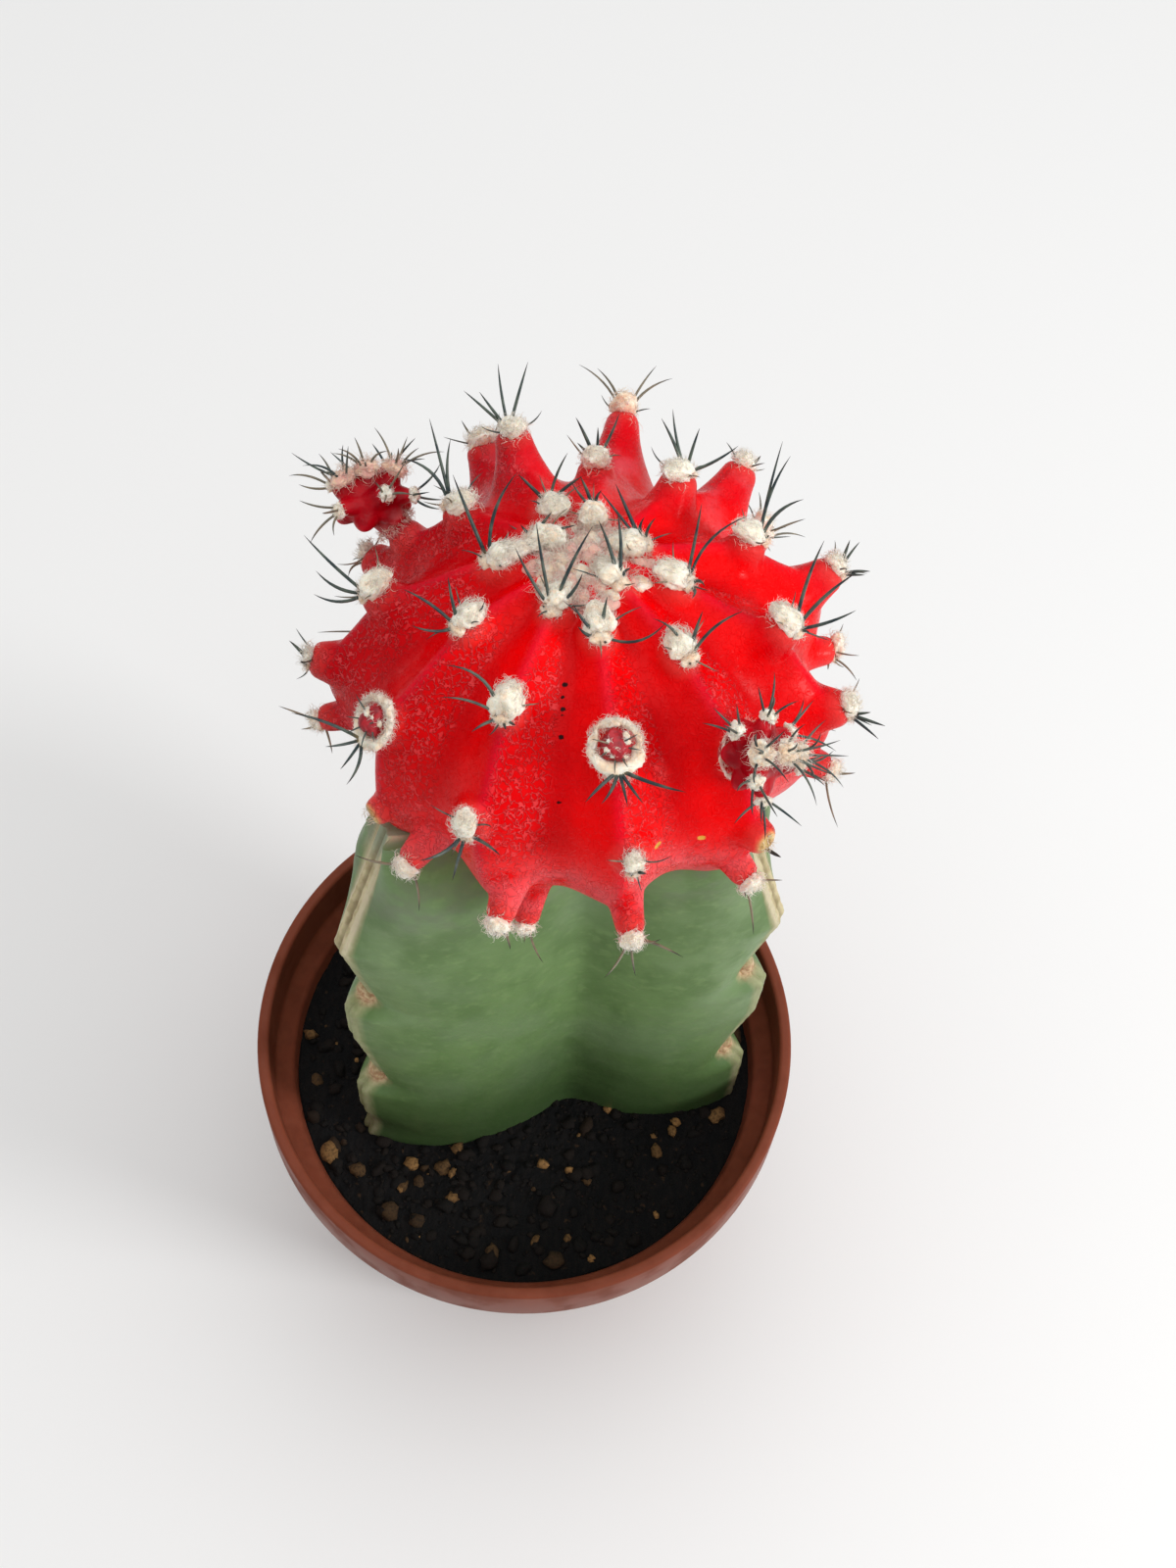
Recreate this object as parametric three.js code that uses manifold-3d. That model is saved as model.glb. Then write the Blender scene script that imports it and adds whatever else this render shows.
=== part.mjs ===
// Potted moon cactus, in millimetres, +Z up.
// A red cactus head is grafted on a green three-ribbed stem, which stands in peat in a round plastic pot.
// The origin is the centre of the pot's flat underside. The side that is seen first faces -Y.

import * as THREE from "three";
import { mergeVertices } from "three/addons/utils/BufferGeometryUtils.js";
import Module from "manifold-3d";

const wasm = await Module();
wasm.setup();

// Clearance between two pieces that touch on the real plant, and round the stem's sharp ribs in the soil
const GAP = 0.3;
const STEM_ROOM = 0.8;

// Pot: a moulded nursery pot with a collar under its rim
const POT = {
  height: 48,
  rimRadius: 30,
  baseRadius: 19.5,
  footRounding: 0.6,
  wall: 1.2,
  floor: 1.4,
  collarHeight: 7.5,
  collarStep: 0.9,
  lipRadius: 0.4,
  sides: 48,
  drainCount: 6,
  drainRadius: 2.3,
  drainCircle: 13,
  drainSides: 10,
};

// Soil: its surface lies a little below the rim
const SOIL = {
  surface: POT.height - 9,
  relief: 0.7,
  sides: 36,
  rings: 5,
  crumbs: 19,
  crumbRadius: [0.8, 1.8],
};

// Stem: the azimuth of each rib, its reach from the stem's axis, and the height of its highest tooth.
// Below each tooth the edge slants in to a notch, rises sharply and runs straight down to the next tooth.
// Above the highest tooth the edge leans in, up to its cut top, which stands as a thin fin beside the head.
const STEM = {
  axis: new THREE.Vector2(4, 4.5),
  bottom: SOIL.surface - 18,
  union: POT.height + 56,
  top: POT.height + 64.5,
  valley: 8.7,
  valleyRounding: 0.25,
  ribs: [
    { azimuth: 99, reach: 19.5, tooth: POT.height + 48 },
    { azimuth: 214, reach: 25.6, tooth: POT.height + 45 },
    { azimuth: 344, reach: 21.2, tooth: POT.height + 41 },
  ],
  toothPitch: 23,
  toothDepth: 2.4,
  notchAt: 0.58,
  notchRise: 0.14,
  edgeLean: 0.3,
  buriedLean: 0.35,
  topThinning: 0.7,
  edgeWidth: 2.4,
  edgeGroove: 0.35,
  flankShares: [0.93, 0.78, 0.56, 0.3],
  ringHeight: 2.9,
  areoleRadius: 1.2,
};

// Head: an oblate ribbed body that leans back and a little to the left.
// For each rib, from the first one leftwards round the head, its areoles are listed from the crown down
// with their latitude, the height of their tubercle and, where they stand off the rib, a shift in azimuth.
const HEAD = {
  centre: new THREE.Vector3(3.7, 6.6, POT.height + 68),
  leanBack: 14.8,
  leanLeft: 3,
  radius: 20.4,
  halfHeight: 15.4,
  firstRib: 282,
  ribs: [
    [[68, 1], [40, 1.4], [8, 1.6, 2], [-20, 3.1, 2]],
    [[74, 0.8], [46, 1.6], [14, 1.6, -2], [-20, 2.6, 5], [-44, 2.6, 6]],
    [[58, 1.6], [26, 2], [-10, 1.4], [-18, 1.8, 12]],
    [[70, 1.2], [40, 3], [12, 3.5], [-10, 3.2]],
    [[78, 0.8], [56, 3], [32, 1.6], [14, 3.2], [-14, 3]],
    [[72, 1.5], [54, 6.2], [30, 5.5], [2, 4.5], [-26, 3]],
    [[76, 1], [50, 2.4, 4], [23, 8], [-6, 4.5]],
    [[58, 4], [32, 5.5], [4, 4.5], [-24, 3]],
    [[78, 1], [50, 3], [24, 4.5], [-4, 2.8], [-30, 2.6]],
    [[68, 1.2], [42, 3.4], [14, 3.2], [-10, 1.9]],
    [[80, 0.8], [56, 1.4], [28, 1.6], [0, 2.4], [-20, 2.2]],
  ],
  groove: 1.9,
  grooveShape: 1.4,
  swelling: 0.5,
  swellingWidth: 4.2,
  columnsPerRib: 4,
  rows: 18,
};

// Tubercles: low down they are round stubs, higher up they widen to a root that grows with their height
const TUBERCLE = {
  sides: 6,
  neck: 1.7,
  stubNeck: 1.35,
  root: 0.7,
  rootPerHeight: 0.4,
  stubLatitude: -12,
  waist: 0.43,
  depth: 2,
};

// Wool tufts and spines on the head
const WOOL = {
  overhang: 0.15,
  height: 1.5,
  crownRadius: 3.4,
  crownHeight: 1.3,
  budRadius: 1.3,
};
const SPINE = {
  radius: 0.3,
  length: [4.8, 6.2],
  spread: 0.85,
  fan: [-105, -38, 38, 105],
  tilt: [26, 48],
  curl: 0.22,
};

// Areoles with a young bud in their wool, by rib and by place down the rib
const BUDS = [{ rib: 0, place: 1 }, { rib: 2, place: 1 }];

// Offsets: the areole that each grows from, and its own sizes
const OFFSETS = [
  {
    name: "offset_left", rib: 4, place: 2, seat: 0.9,
    neck: 1.2, neckRadius: 1.5, radius: 3.3, height: 5.4,
  },
  {
    name: "offset_right", rib: 10, place: 2, seat: 0.5,
    neck: 0.2, neckRadius: 2.2, radius: 3.2, height: 4.8,
  },
];
const OFFSET = {
  ribs: 6,
  rows: 6,
  groove: 0.2,
  tuftRadius: 1.05,
  spineLength: [3.2, 4.6],
  spineRadius: 0.26,
};

const radians = THREE.MathUtils.degToRad;
const degrees = THREE.MathUtils.radToDeg;
const smooth = THREE.MathUtils.smoothstep;
const UP = new THREE.Vector3(0, 0, 1);

// Seeded random numbers, so that the plant is the same each time
function randomSource(seed) {
  let state = seed;
  return (low, high) => {
    state = (state + 0x6d2b79f5) | 0;
    let mixed = Math.imul(state ^ (state >>> 15), 1 | state);
    mixed = (mixed + Math.imul(mixed ^ (mixed >>> 7), 61 | mixed)) ^ mixed;
    return low + (high - low) * (((mixed ^ (mixed >>> 14)) >>> 0) / 4294967296);
  };
}

// A closed geometry as a solid that can be joined and cut
function solidFrom(geometry) {
  const bare = geometry.clone();
  bare.deleteAttribute("normal");
  bare.deleteAttribute("uv");
  const merged = mergeVertices(bare, 1e-4);
  const corners = merged.index.array;
  const kept = [];
  for (let i = 0; i < corners.length; i += 3) {
    const [a, b, c] = corners.slice(i, i + 3);
    if (a !== b && b !== c && c !== a) {
      kept.push(a, b, c);
    }
  }
  return new wasm.Manifold(new wasm.Mesh({
    numProp: 3,
    vertProperties: merged.attributes.position.array,
    triVerts: Uint32Array.from(kept),
  }));
}

// A solid as a geometry again
function geometryFrom(solid) {
  const mesh = solid.getMesh();
  const geometry = new THREE.BufferGeometry();
  geometry.setAttribute("position", new THREE.BufferAttribute(mesh.vertProperties, 3));
  geometry.setIndex(new THREE.BufferAttribute(mesh.triVerts, 1));
  geometry.computeVertexNormals();
  return geometry;
}

// Moves every vertex of a geometry to where place() puts it
function shaped(geometry, place) {
  const position = geometry.attributes.position;
  const point = new THREE.Vector3();
  for (let i = 0; i < position.count; i += 1) {
    point.fromBufferAttribute(position, i);
    const moved = place(point);
    position.setXYZ(i, moved.x, moved.y, moved.z);
  }
  return geometry;
}

// A body of revolution about Z, from a profile of [radius, height] pairs that runs up its outside
function turned(profile, sides) {
  const points = profile.map(([radius, height]) => new THREE.Vector2(radius, height));
  const geometry = new THREE.LatheGeometry(points, sides);
  geometry.rotateX(Math.PI / 2);
  return geometry;
}

// A block that fills everything below a height
function blockBelow(height) {
  const size = 200;
  const block = new THREE.BoxGeometry(size, size, size);
  block.translate(0, 0, height - size / 2);
  return solidFrom(block);
}

// Turns +Z to a direction and moves the foot to a point
function placement(foot, direction) {
  const turn = new THREE.Quaternion().setFromUnitVectors(UP, direction);
  return new THREE.Matrix4().compose(foot, turn, new THREE.Vector3(1, 1, 1));
}

// Pot
function potInside(z) {
  const taper = (POT.rimRadius - POT.collarStep - POT.baseRadius) / POT.height;
  return POT.baseRadius + taper * z - POT.wall;
}

function potGeometry() {
  const collar = POT.height - POT.collarHeight;
  const body = potInside(collar) + POT.wall;
  const mouth = potInside(POT.height);
  const lip = POT.lipRadius;
  const shell = solidFrom(turned([
    [0, 0],
    [POT.baseRadius - POT.footRounding, 0],
    [POT.baseRadius, POT.footRounding],
    [body, collar],
    [POT.rimRadius - lip, collar + lip],
    [POT.rimRadius, collar + 3 * lip],
    [POT.rimRadius, POT.height - 2 * lip],
    [POT.rimRadius - lip, POT.height],
    [mouth + lip, POT.height],
    [mouth, POT.height - lip],
    [potInside(POT.floor), POT.floor],
    [0, POT.floor],
  ], POT.sides));
  const holes = [];
  for (let i = 0; i < POT.drainCount; i += 1) {
    const angle = (2 * Math.PI * i) / POT.drainCount;
    const hole = new THREE.CylinderGeometry(POT.drainRadius, POT.drainRadius, 4 * POT.floor, POT.drainSides);
    hole.rotateX(Math.PI / 2);
    hole.translate(POT.drainCircle * Math.cos(angle), POT.drainCircle * Math.sin(angle), 0);
    holes.push(solidFrom(hole));
  }
  return geometryFrom(shell.subtract(wasm.Manifold.union(holes)));
}

// Stem. How far a rib's edge draws back from its full reach at a height
function edgeRetreat(rib, z) {
  if (z > rib.tooth) {
    return (z - rib.tooth) * STEM.edgeLean;
  }
  if (z < SOIL.surface) {
    return (SOIL.surface - z) * STEM.buriedLean;
  }
  const fromTooth = ((rib.tooth - z) / STEM.toothPitch) % 1;
  const slant = Math.min(fromTooth / STEM.notchAt, 1);
  const rise = 1 - smooth(fromTooth, STEM.notchAt, STEM.notchAt + STEM.notchRise);
  const aboveSoil = smooth(z, SOIL.surface, SOIL.surface + 5);
  return STEM.toothDepth * slant * rise * aboveSoil;
}

// The stem's outline at a height: from each rib's blunt grooved edge down its flanks to the valleys
function stemOutline(z) {
  const outline = [];
  const add = (azimuth, radius, aside) => {
    const along = new THREE.Vector2(Math.cos(azimuth), Math.sin(azimuth));
    const across = new THREE.Vector2(-along.y, along.x);
    outline.push(STEM.axis.clone().addScaledVector(along, radius).addScaledVector(across, aside));
  };
  const soft = STEM.valleyRounding;
  const rise = (share) => (Math.hypot(share, soft) - soft) / (Math.hypot(1, soft) - soft);
  const thinning = 1 - STEM.topThinning * smooth(z, STEM.union, STEM.top);
  const count = STEM.ribs.length;
  STEM.ribs.forEach((rib, i) => {
    const azimuth = radians(rib.azimuth);
    const wrapBefore = i === 0 ? 360 : 0;
    const wrapAfter = i === count - 1 ? 360 : 0;
    const before = radians(STEM.ribs[(i + count - 1) % count].azimuth - wrapBefore);
    const after = radians(STEM.ribs[(i + 1) % count].azimuth + wrapAfter);
    const retreat = edgeRetreat(rib, z);
    const tip = rib.reach - retreat;
    const flank = (share, neighbour) => {
      const radius = STEM.valley + (rib.reach - STEM.valley) * rise(share) - retreat * share ** 9;
      add(azimuth + ((neighbour - azimuth) / 2) * (1 - share) * thinning, radius, 0);
    };
    [...STEM.flankShares].reverse().forEach((share) => flank(share, before));
    add(azimuth, tip, -STEM.edgeWidth / 2);
    add(azimuth, tip - STEM.edgeGroove, 0);
    add(azimuth, tip, STEM.edgeWidth / 2);
    STEM.flankShares.forEach((share) => flank(share, after));
    add((azimuth + after) / 2, STEM.valley, 0);
  });
  return outline;
}

// The same outline, set outwards by a margin
function outlineAround(z, margin) {
  const outline = stemOutline(z);
  const count = outline.length;
  return outline.map((spot, i) => {
    const chord = outline[(i + 1) % count].clone().sub(outline[(i + count - 1) % count]).normalize();
    return spot.clone().add(new THREE.Vector2(chord.y, -chord.x).multiplyScalar(margin));
  });
}

// A prism whose outline changes with its height: a cylinder with each ring of vertices laid on an outline
function outlinedPrism(levels, outlineAt) {
  const outlines = levels.map(outlineAt);
  const sides = outlines[0].length;
  const cylinder = new THREE.CylinderGeometry(1, 1, 1, sides, levels.length - 1);
  cylinder.rotateX(Math.PI / 2);
  return shaped(cylinder, (point) => {
    const ring = Math.round((point.z + 0.5) * (levels.length - 1));
    if (Math.hypot(point.x, point.y) < 0.5) {
      return new THREE.Vector3(STEM.axis.x, STEM.axis.y, levels[ring]);
    }
    const turn = Math.atan2(point.y, point.x) / (2 * Math.PI);
    const spot = outlines[ring][Math.round((turn + 1) * sides) % sides];
    return new THREE.Vector3(spot.x, spot.y, levels[ring]);
  });
}

function stemGeometry(seat) {
  const levels = [STEM.bottom];
  const rings = Math.ceil((STEM.top - SOIL.surface) / STEM.ringHeight);
  for (let i = 0; i <= rings; i += 1) {
    levels.push(SOIL.surface + ((STEM.top - SOIL.surface) * i) / rings);
  }
  const pieces = [solidFrom(outlinedPrism(levels, stemOutline))];
  for (const rib of STEM.ribs) {
    const firstNotch = rib.tooth - STEM.toothPitch * STEM.notchAt;
    for (let z = firstNotch; z > SOIL.surface + 2; z -= STEM.toothPitch) {
      const azimuth = radians(rib.azimuth);
      const reach = rib.reach - STEM.toothDepth - STEM.areoleRadius * 0.3;
      const bump = new THREE.IcosahedronGeometry(STEM.areoleRadius, 0);
      bump.scale(1, 1, 1.3);
      bump.translate(STEM.axis.x + reach * Math.cos(azimuth), STEM.axis.y + reach * Math.sin(azimuth), z);
      pieces.push(solidFrom(bump));
    }
  }
  return geometryFrom(wasm.Manifold.union(pieces).subtract(seat));
}

// Soil: a plug that fills the pot, with an uneven crumbly surface and a plain hole for the stem
function soilRelief(x, y) {
  const broad = Math.sin(x * 0.31 + 1.3) * Math.cos(y * 0.27 - 0.6);
  const fine = Math.sin(x * 0.9 - y * 0.7) * Math.cos(y * 1.1 + x * 0.4);
  return SOIL.relief * (0.6 * broad + 0.4 * fine);
}

function soilGeometry() {
  const edge = potInside(SOIL.surface) - GAP;
  const profile = [[0, POT.floor], [potInside(POT.floor) - GAP, POT.floor]];
  for (let i = 0; i <= SOIL.rings; i += 1) {
    profile.push([edge * (1 - i / SOIL.rings), SOIL.surface]);
  }
  const plug = shaped(turned(profile, SOIL.sides), (point) => {
    if (point.z > SOIL.surface - 1) {
      const inside = smooth(edge - Math.hypot(point.x, point.y), 0, 3);
      point.z += soilRelief(point.x, point.y) * inside;
    }
    return point;
  });
  const random = randomSource(7);
  const pieces = [solidFrom(plug)];
  for (let i = 0; i < SOIL.crumbs; i += 1) {
    const size = random(...SOIL.crumbRadius);
    const angle = random(0, 2 * Math.PI);
    const distance = (edge - size - 0.6) * Math.sqrt(random(0, 1));
    const crumb = new THREE.IcosahedronGeometry(size, 0);
    crumb.scale(1, random(0.6, 1), random(0.5, 0.8));
    crumb.rotateZ(random(0, Math.PI));
    const x = distance * Math.cos(angle);
    const y = distance * Math.sin(angle);
    crumb.translate(x, y, SOIL.surface + soilRelief(x, y) + size * random(-0.1, 0.25));
    pieces.push(solidFrom(crumb));
  }
  const buried = SOIL.surface - STEM.bottom;
  const inSoil = [1, 0.5, 0].map((share) => SOIL.surface - share * (buried + GAP));
  const levels = [...inSoil, SOIL.surface + 8];
  const hole = outlinedPrism(levels, (z) => outlineAround(Math.min(z, SOIL.surface), STEM_ROOM));
  return geometryFrom(wasm.Manifold.union(pieces).subtract(solidFrom(hole)));
}

// Head. In its own frame the crown is up the lean axis, and azimuths count from the right, seen from above
const headAxis = new THREE.Vector3(
  -Math.tan(radians(HEAD.leanLeft)),
  Math.tan(radians(HEAD.leanBack)),
  1,
).normalize();
const headRight = new THREE.Vector3(1, 0, 0).addScaledVector(headAxis, -headAxis.x).normalize();
const headBack = new THREE.Vector3().crossVectors(headAxis, headRight);
const headMatrix = new THREE.Matrix4().makeBasis(headRight, headBack, headAxis).setPosition(HEAD.centre);

// The point of the smooth body at a latitude and an azimuth in degrees, and the way out of it
function bodyPoint(latitude, azimuth) {
  const across = HEAD.radius * Math.cos(radians(latitude));
  return new THREE.Vector3(
    across * Math.cos(radians(azimuth)),
    across * Math.sin(radians(azimuth)),
    HEAD.halfHeight * Math.sin(radians(latitude)),
  );
}

function wayOut(latitude, azimuth) {
  const point = bodyPoint(latitude, azimuth);
  const flat = HEAD.radius ** 2;
  return new THREE.Vector3(point.x / flat, point.y / flat, point.z / HEAD.halfHeight ** 2).normalize();
}

// Areoles: the spots along each rib that carry wool and spines
const areoles = HEAD.ribs.flatMap((entries, rib) => entries.map(([latitude, height, shift = 0], place) => {
  const azimuth = HEAD.firstRib - (360 / HEAD.ribs.length) * rib + shift;
  const matches = (entry) => entry.rib === rib && entry.place === place;
  const widening = smooth(latitude, TUBERCLE.stubLatitude, -TUBERCLE.stubLatitude);
  return {
    latitude,
    azimuth,
    height,
    point: bodyPoint(latitude, azimuth),
    out: wayOut(latitude, azimuth),
    neck: THREE.MathUtils.lerp(TUBERCLE.stubNeck, TUBERCLE.neck, widening),
    rootRadius: TUBERCLE.stubNeck + TUBERCLE.root + TUBERCLE.rootPerHeight * (height + 1) * widening,
    swelling: HEAD.swelling * height * (0.25 + 0.75 * widening),
    offset: OFFSETS.find(matches),
    bud: BUDS.find(matches),
  };
}));

// The ribbed body: sharp grooves between rounded ribs, which swell towards each areole
function headBody() {
  const ribs = HEAD.ribs.length;
  const sphere = new THREE.SphereGeometry(1, ribs * HEAD.columnsPerRib, HEAD.rows);
  sphere.rotateX(Math.PI / 2);
  return shaped(sphere, (point) => {
    const latitude = degrees(Math.asin(THREE.MathUtils.clamp(point.z, -1, 1)));
    const fromFirst = degrees(Math.atan2(point.y, point.x));
    const inRibs = (fromFirst * ribs) / 360;
    const fromCrest = Math.abs(inRibs - Math.round(inRibs)) * 2;
    const azimuth = HEAD.firstRib + fromFirst;
    const skin = bodyPoint(latitude, azimuth);
    let push = -HEAD.groove * Math.sqrt(Math.cos(radians(latitude))) * fromCrest ** HEAD.grooveShape;
    for (const areole of areoles) {
      const distance = skin.distanceTo(areole.point) / HEAD.swellingWidth;
      push += areole.swelling * Math.exp(-distance * distance);
    }
    return skin.addScaledVector(wayOut(latitude, azimuth), push);
  });
}

// The room that the head takes in the stem's top: its smooth outside, down to the flat graft
function headSeat() {
  const ball = new THREE.SphereGeometry(1, 48, 24);
  ball.scale(HEAD.radius + GAP, HEAD.radius + GAP, HEAD.halfHeight + GAP);
  ball.applyMatrix4(headMatrix);
  return solidFrom(ball).subtract(blockBelow(STEM.union));
}

// One curved spine, three-sided, from a root along a direction, bending away from its areole's axis
function spineSolid(root, direction, aside, length, radius) {
  const cone = new THREE.ConeGeometry(radius, length, 3, 2);
  cone.rotateX(Math.PI / 2);
  cone.translate(0, 0, length / 2);
  shaped(cone, (point) => {
    point.x += SPINE.curl * length * (point.z / length) ** 2;
    return point;
  });
  const side = aside.clone().addScaledVector(direction, -aside.dot(direction)).normalize();
  const third = new THREE.Vector3().crossVectors(direction, side);
  cone.applyMatrix4(new THREE.Matrix4().makeBasis(side, third, direction).setPosition(root));
  return solidFrom(cone);
}

// A fan of spines round the lower side of an areole, whose wool has a foot and an axis
function spineFan(foot, axis, downRib, random, sizes) {
  const down = downRib.clone().addScaledVector(axis, -downRib.dot(axis)).normalize();
  const left = new THREE.Vector3().crossVectors(axis, down);
  return sizes.fan.map((turn) => {
    const angle = radians(turn + random(-12, 12));
    const tilt = radians(random(...SPINE.tilt));
    const outward = down.clone().multiplyScalar(Math.cos(angle)).addScaledVector(left, Math.sin(angle));
    const direction = axis.clone().multiplyScalar(Math.cos(tilt)).addScaledVector(outward, Math.sin(tilt));
    const root = foot.clone().addScaledVector(outward, sizes.spread);
    return spineSolid(root, direction, outward, random(...sizes.length), sizes.radius);
  });
}

// A tubercle with its wool tuft, along +Z from its foot in the body's skin
function tubercleGeometry(areole) {
  const h = areole.height;
  const { neck, rootRadius } = areole;
  const { depth } = TUBERCLE;
  const waist = (rootRadius + neck) * TUBERCLE.waist;
  const wool = neck + WOOL.overhang;
  const profile = [[0, -depth], [rootRadius, -depth * 0.7], [waist, h * 0.5], [neck, h]];
  if (areole.offset) {
    const seat = h + areole.offset.seat;
    profile.push([neck, seat], [0, seat]);
  } else {
    profile.push([wool, h + 0.25], [wool * 0.7, h + WOOL.height * 0.8], [0, h + WOOL.height]);
  }
  return turned(profile, TUBERCLE.sides);
}

function headSolid() {
  const random = randomSource(29);
  const pieces = [solidFrom(headBody())];
  for (const areole of areoles) {
    const stands = placement(areole.point, areole.out);
    pieces.push(solidFrom(tubercleGeometry(areole).applyMatrix4(stands)));
    if (areole.offset) {
      continue;
    }
    if (areole.bud) {
      const bud = new THREE.IcosahedronGeometry(WOOL.budRadius, 0);
      bud.translate(0, 0, areole.height + WOOL.height * 0.7);
      pieces.push(solidFrom(bud.applyMatrix4(stands)));
    }
    const foot = areole.point.clone().addScaledVector(areole.out, areole.height + 0.2);
    const downRib = bodyPoint(areole.latitude - 4, areole.azimuth).sub(areole.point);
    pieces.push(...spineFan(foot, areole.out, downRib, random, SPINE));
  }
  const crown = turned([
    [0, -2],
    [WOOL.crownRadius, -0.8],
    [WOOL.crownRadius * 0.7, WOOL.crownHeight * 0.7],
    [0, WOOL.crownHeight],
  ], 8);
  crown.translate(0, 0, HEAD.halfHeight);
  pieces.push(solidFrom(crown));
  const crownFoot = new THREE.Vector3(0, 0, HEAD.halfHeight);
  const crownSizes = { ...SPINE, fan: [-120, 0, 120], spread: 1.2 };
  pieces.push(...spineFan(crownFoot, UP, new THREE.Vector3(0, -1, 0), random, crownSizes));
  const whole = geometryFrom(wasm.Manifold.union(pieces)).applyMatrix4(headMatrix);
  return solidFrom(whole).subtract(blockBelow(STEM.union));
}

// Offset: a small ribbed head on a short neck, along +Z from its foot, with a tuft and spines on each rib
function offsetGeometry(offset, seed) {
  const random = randomSource(seed);
  const middle = offset.neck + offset.height / 2;
  const neck = turned([
    [0, 0],
    [offset.neckRadius, 0],
    [offset.neckRadius, offset.neck + 1],
    [0, offset.neck + 1.6],
  ], 8);
  const sphere = new THREE.SphereGeometry(1, OFFSET.ribs * 2, OFFSET.rows);
  sphere.rotateX(Math.PI / 2);
  const body = shaped(sphere, (point) => {
    const inRibs = (Math.atan2(point.y, point.x) / (2 * Math.PI)) * OFFSET.ribs;
    const fromCrest = Math.abs(inRibs - Math.round(inRibs)) * 2;
    const reach = offset.radius * (1 - OFFSET.groove * fromCrest * Math.hypot(point.x, point.y));
    return new THREE.Vector3(point.x * reach, point.y * reach, middle + (point.z * offset.height) / 2);
  });
  const pieces = [solidFrom(neck), solidFrom(body)];
  const tuft = [[0, -1.2], [OFFSET.tuftRadius, 0.2], [OFFSET.tuftRadius * 0.6, 0.9], [0, 1.05]];
  const sizes = { fan: [-75, 0, 75], length: OFFSET.spineLength, radius: OFFSET.spineRadius, spread: 0.4 };
  const addTuft = (latitude, azimuth) => {
    const across = Math.cos(radians(latitude));
    const out = new THREE.Vector3(
      across * Math.cos(radians(azimuth)),
      across * Math.sin(radians(azimuth)),
      Math.sin(radians(latitude)),
    );
    const reach = 0.96;
    const foot = new THREE.Vector3(
      out.x * offset.radius * reach,
      out.y * offset.radius * reach,
      middle + (out.z * offset.height * reach) / 2,
    );
    pieces.push(solidFrom(turned(tuft, 5).applyMatrix4(placement(foot, out))));
    pieces.push(...spineFan(foot, out, new THREE.Vector3(0, 0, -1), random, sizes));
  };
  for (let rib = 0; rib < OFFSET.ribs; rib += 1) {
    addTuft(rib % 2 === 0 ? 10 : 40, (360 / OFFSET.ribs) * rib);
  }
  addTuft(80, 45);
  return geometryFrom(wasm.Manifold.union(pieces).subtract(blockBelow(0)));
}

function coloured(name, geometry, color, roughness) {
  const material = new THREE.MeshStandardMaterial({ color, roughness, metalness: 0 });
  const mesh = new THREE.Mesh(geometry, material);
  mesh.name = name;
  return mesh;
}

const group = new THREE.Group();
group.add(coloured("pot", potGeometry(), 0x9a5636, 0.45));
group.add(coloured("soil", soilGeometry(), 0x15110e, 0.95));
group.add(coloured("rootstock", stemGeometry(headSeat()), 0x4a7044, 0.6));
group.add(coloured("scion", geometryFrom(headSolid()), 0xd3101c, 0.4));
OFFSETS.forEach((offset, index) => {
  const areole = areoles.find((entry) => entry.offset === offset);
  const mesh = coloured(offset.name, offsetGeometry(offset, 101 + index), 0xa01230, 0.45);
  const seat = areole.point.clone().addScaledVector(areole.out, areole.height + offset.seat + GAP);
  const direction = areole.out.clone().transformDirection(headMatrix);
  mesh.applyMatrix4(placement(seat.applyMatrix4(headMatrix), direction));
  group.add(mesh);
});

export default group;
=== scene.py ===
import math
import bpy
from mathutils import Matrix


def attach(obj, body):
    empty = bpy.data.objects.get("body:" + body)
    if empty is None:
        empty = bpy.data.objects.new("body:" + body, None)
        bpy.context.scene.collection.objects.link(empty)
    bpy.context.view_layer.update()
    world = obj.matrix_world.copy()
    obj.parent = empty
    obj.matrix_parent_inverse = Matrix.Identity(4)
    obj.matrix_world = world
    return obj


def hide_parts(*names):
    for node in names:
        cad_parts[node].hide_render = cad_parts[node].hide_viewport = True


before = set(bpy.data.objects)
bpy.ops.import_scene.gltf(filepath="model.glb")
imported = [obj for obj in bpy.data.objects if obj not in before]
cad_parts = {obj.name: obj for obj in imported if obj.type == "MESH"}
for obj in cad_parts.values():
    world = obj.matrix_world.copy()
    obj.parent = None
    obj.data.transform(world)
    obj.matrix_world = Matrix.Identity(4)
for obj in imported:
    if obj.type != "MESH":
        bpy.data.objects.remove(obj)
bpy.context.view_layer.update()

from types import SimpleNamespace

import bpy
import numpy as np
from mathutils import Matrix, Vector, noise

# Pot
# A thin-walled round nursery pot, injection moulded in one piece from terracotta-brown plastic.
# Its wall tapers to a flat foot, a straight collar stands out under the rounded rim, and six
# drainage holes are moulded through the floor.
MM = 0.001
POT_HEIGHT = 48.0
POT_RIM_RADIUS = 30.0
POT_FOOT_RADIUS = 19.5
POT_WALL = 1.2
POT_FLOOR = 1.4
COLLAR_HEIGHT = 7.5
COLLAR_STEP = 0.9
DRAIN_HOLES = 6
DRAIN_RADIUS = 2.3
DRAIN_CIRCLE = 13.0
POT_SIDES = 160
RIM_ROUNDING = 0.42


def pot_inside(height):
    """Inner radius of the pot's tapered wall at a height."""
    taper = (POT_RIM_RADIUS - COLLAR_STEP - POT_FOOT_RADIUS) / POT_HEIGHT
    return POT_FOOT_RADIUS + taper * height - POT_WALL


def choose(piece):
    """Makes one object the only selected and active one."""
    bpy.ops.object.select_all(action="DESELECT")
    piece.select_set(True)
    bpy.context.view_layer.objects.active = piece


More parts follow.
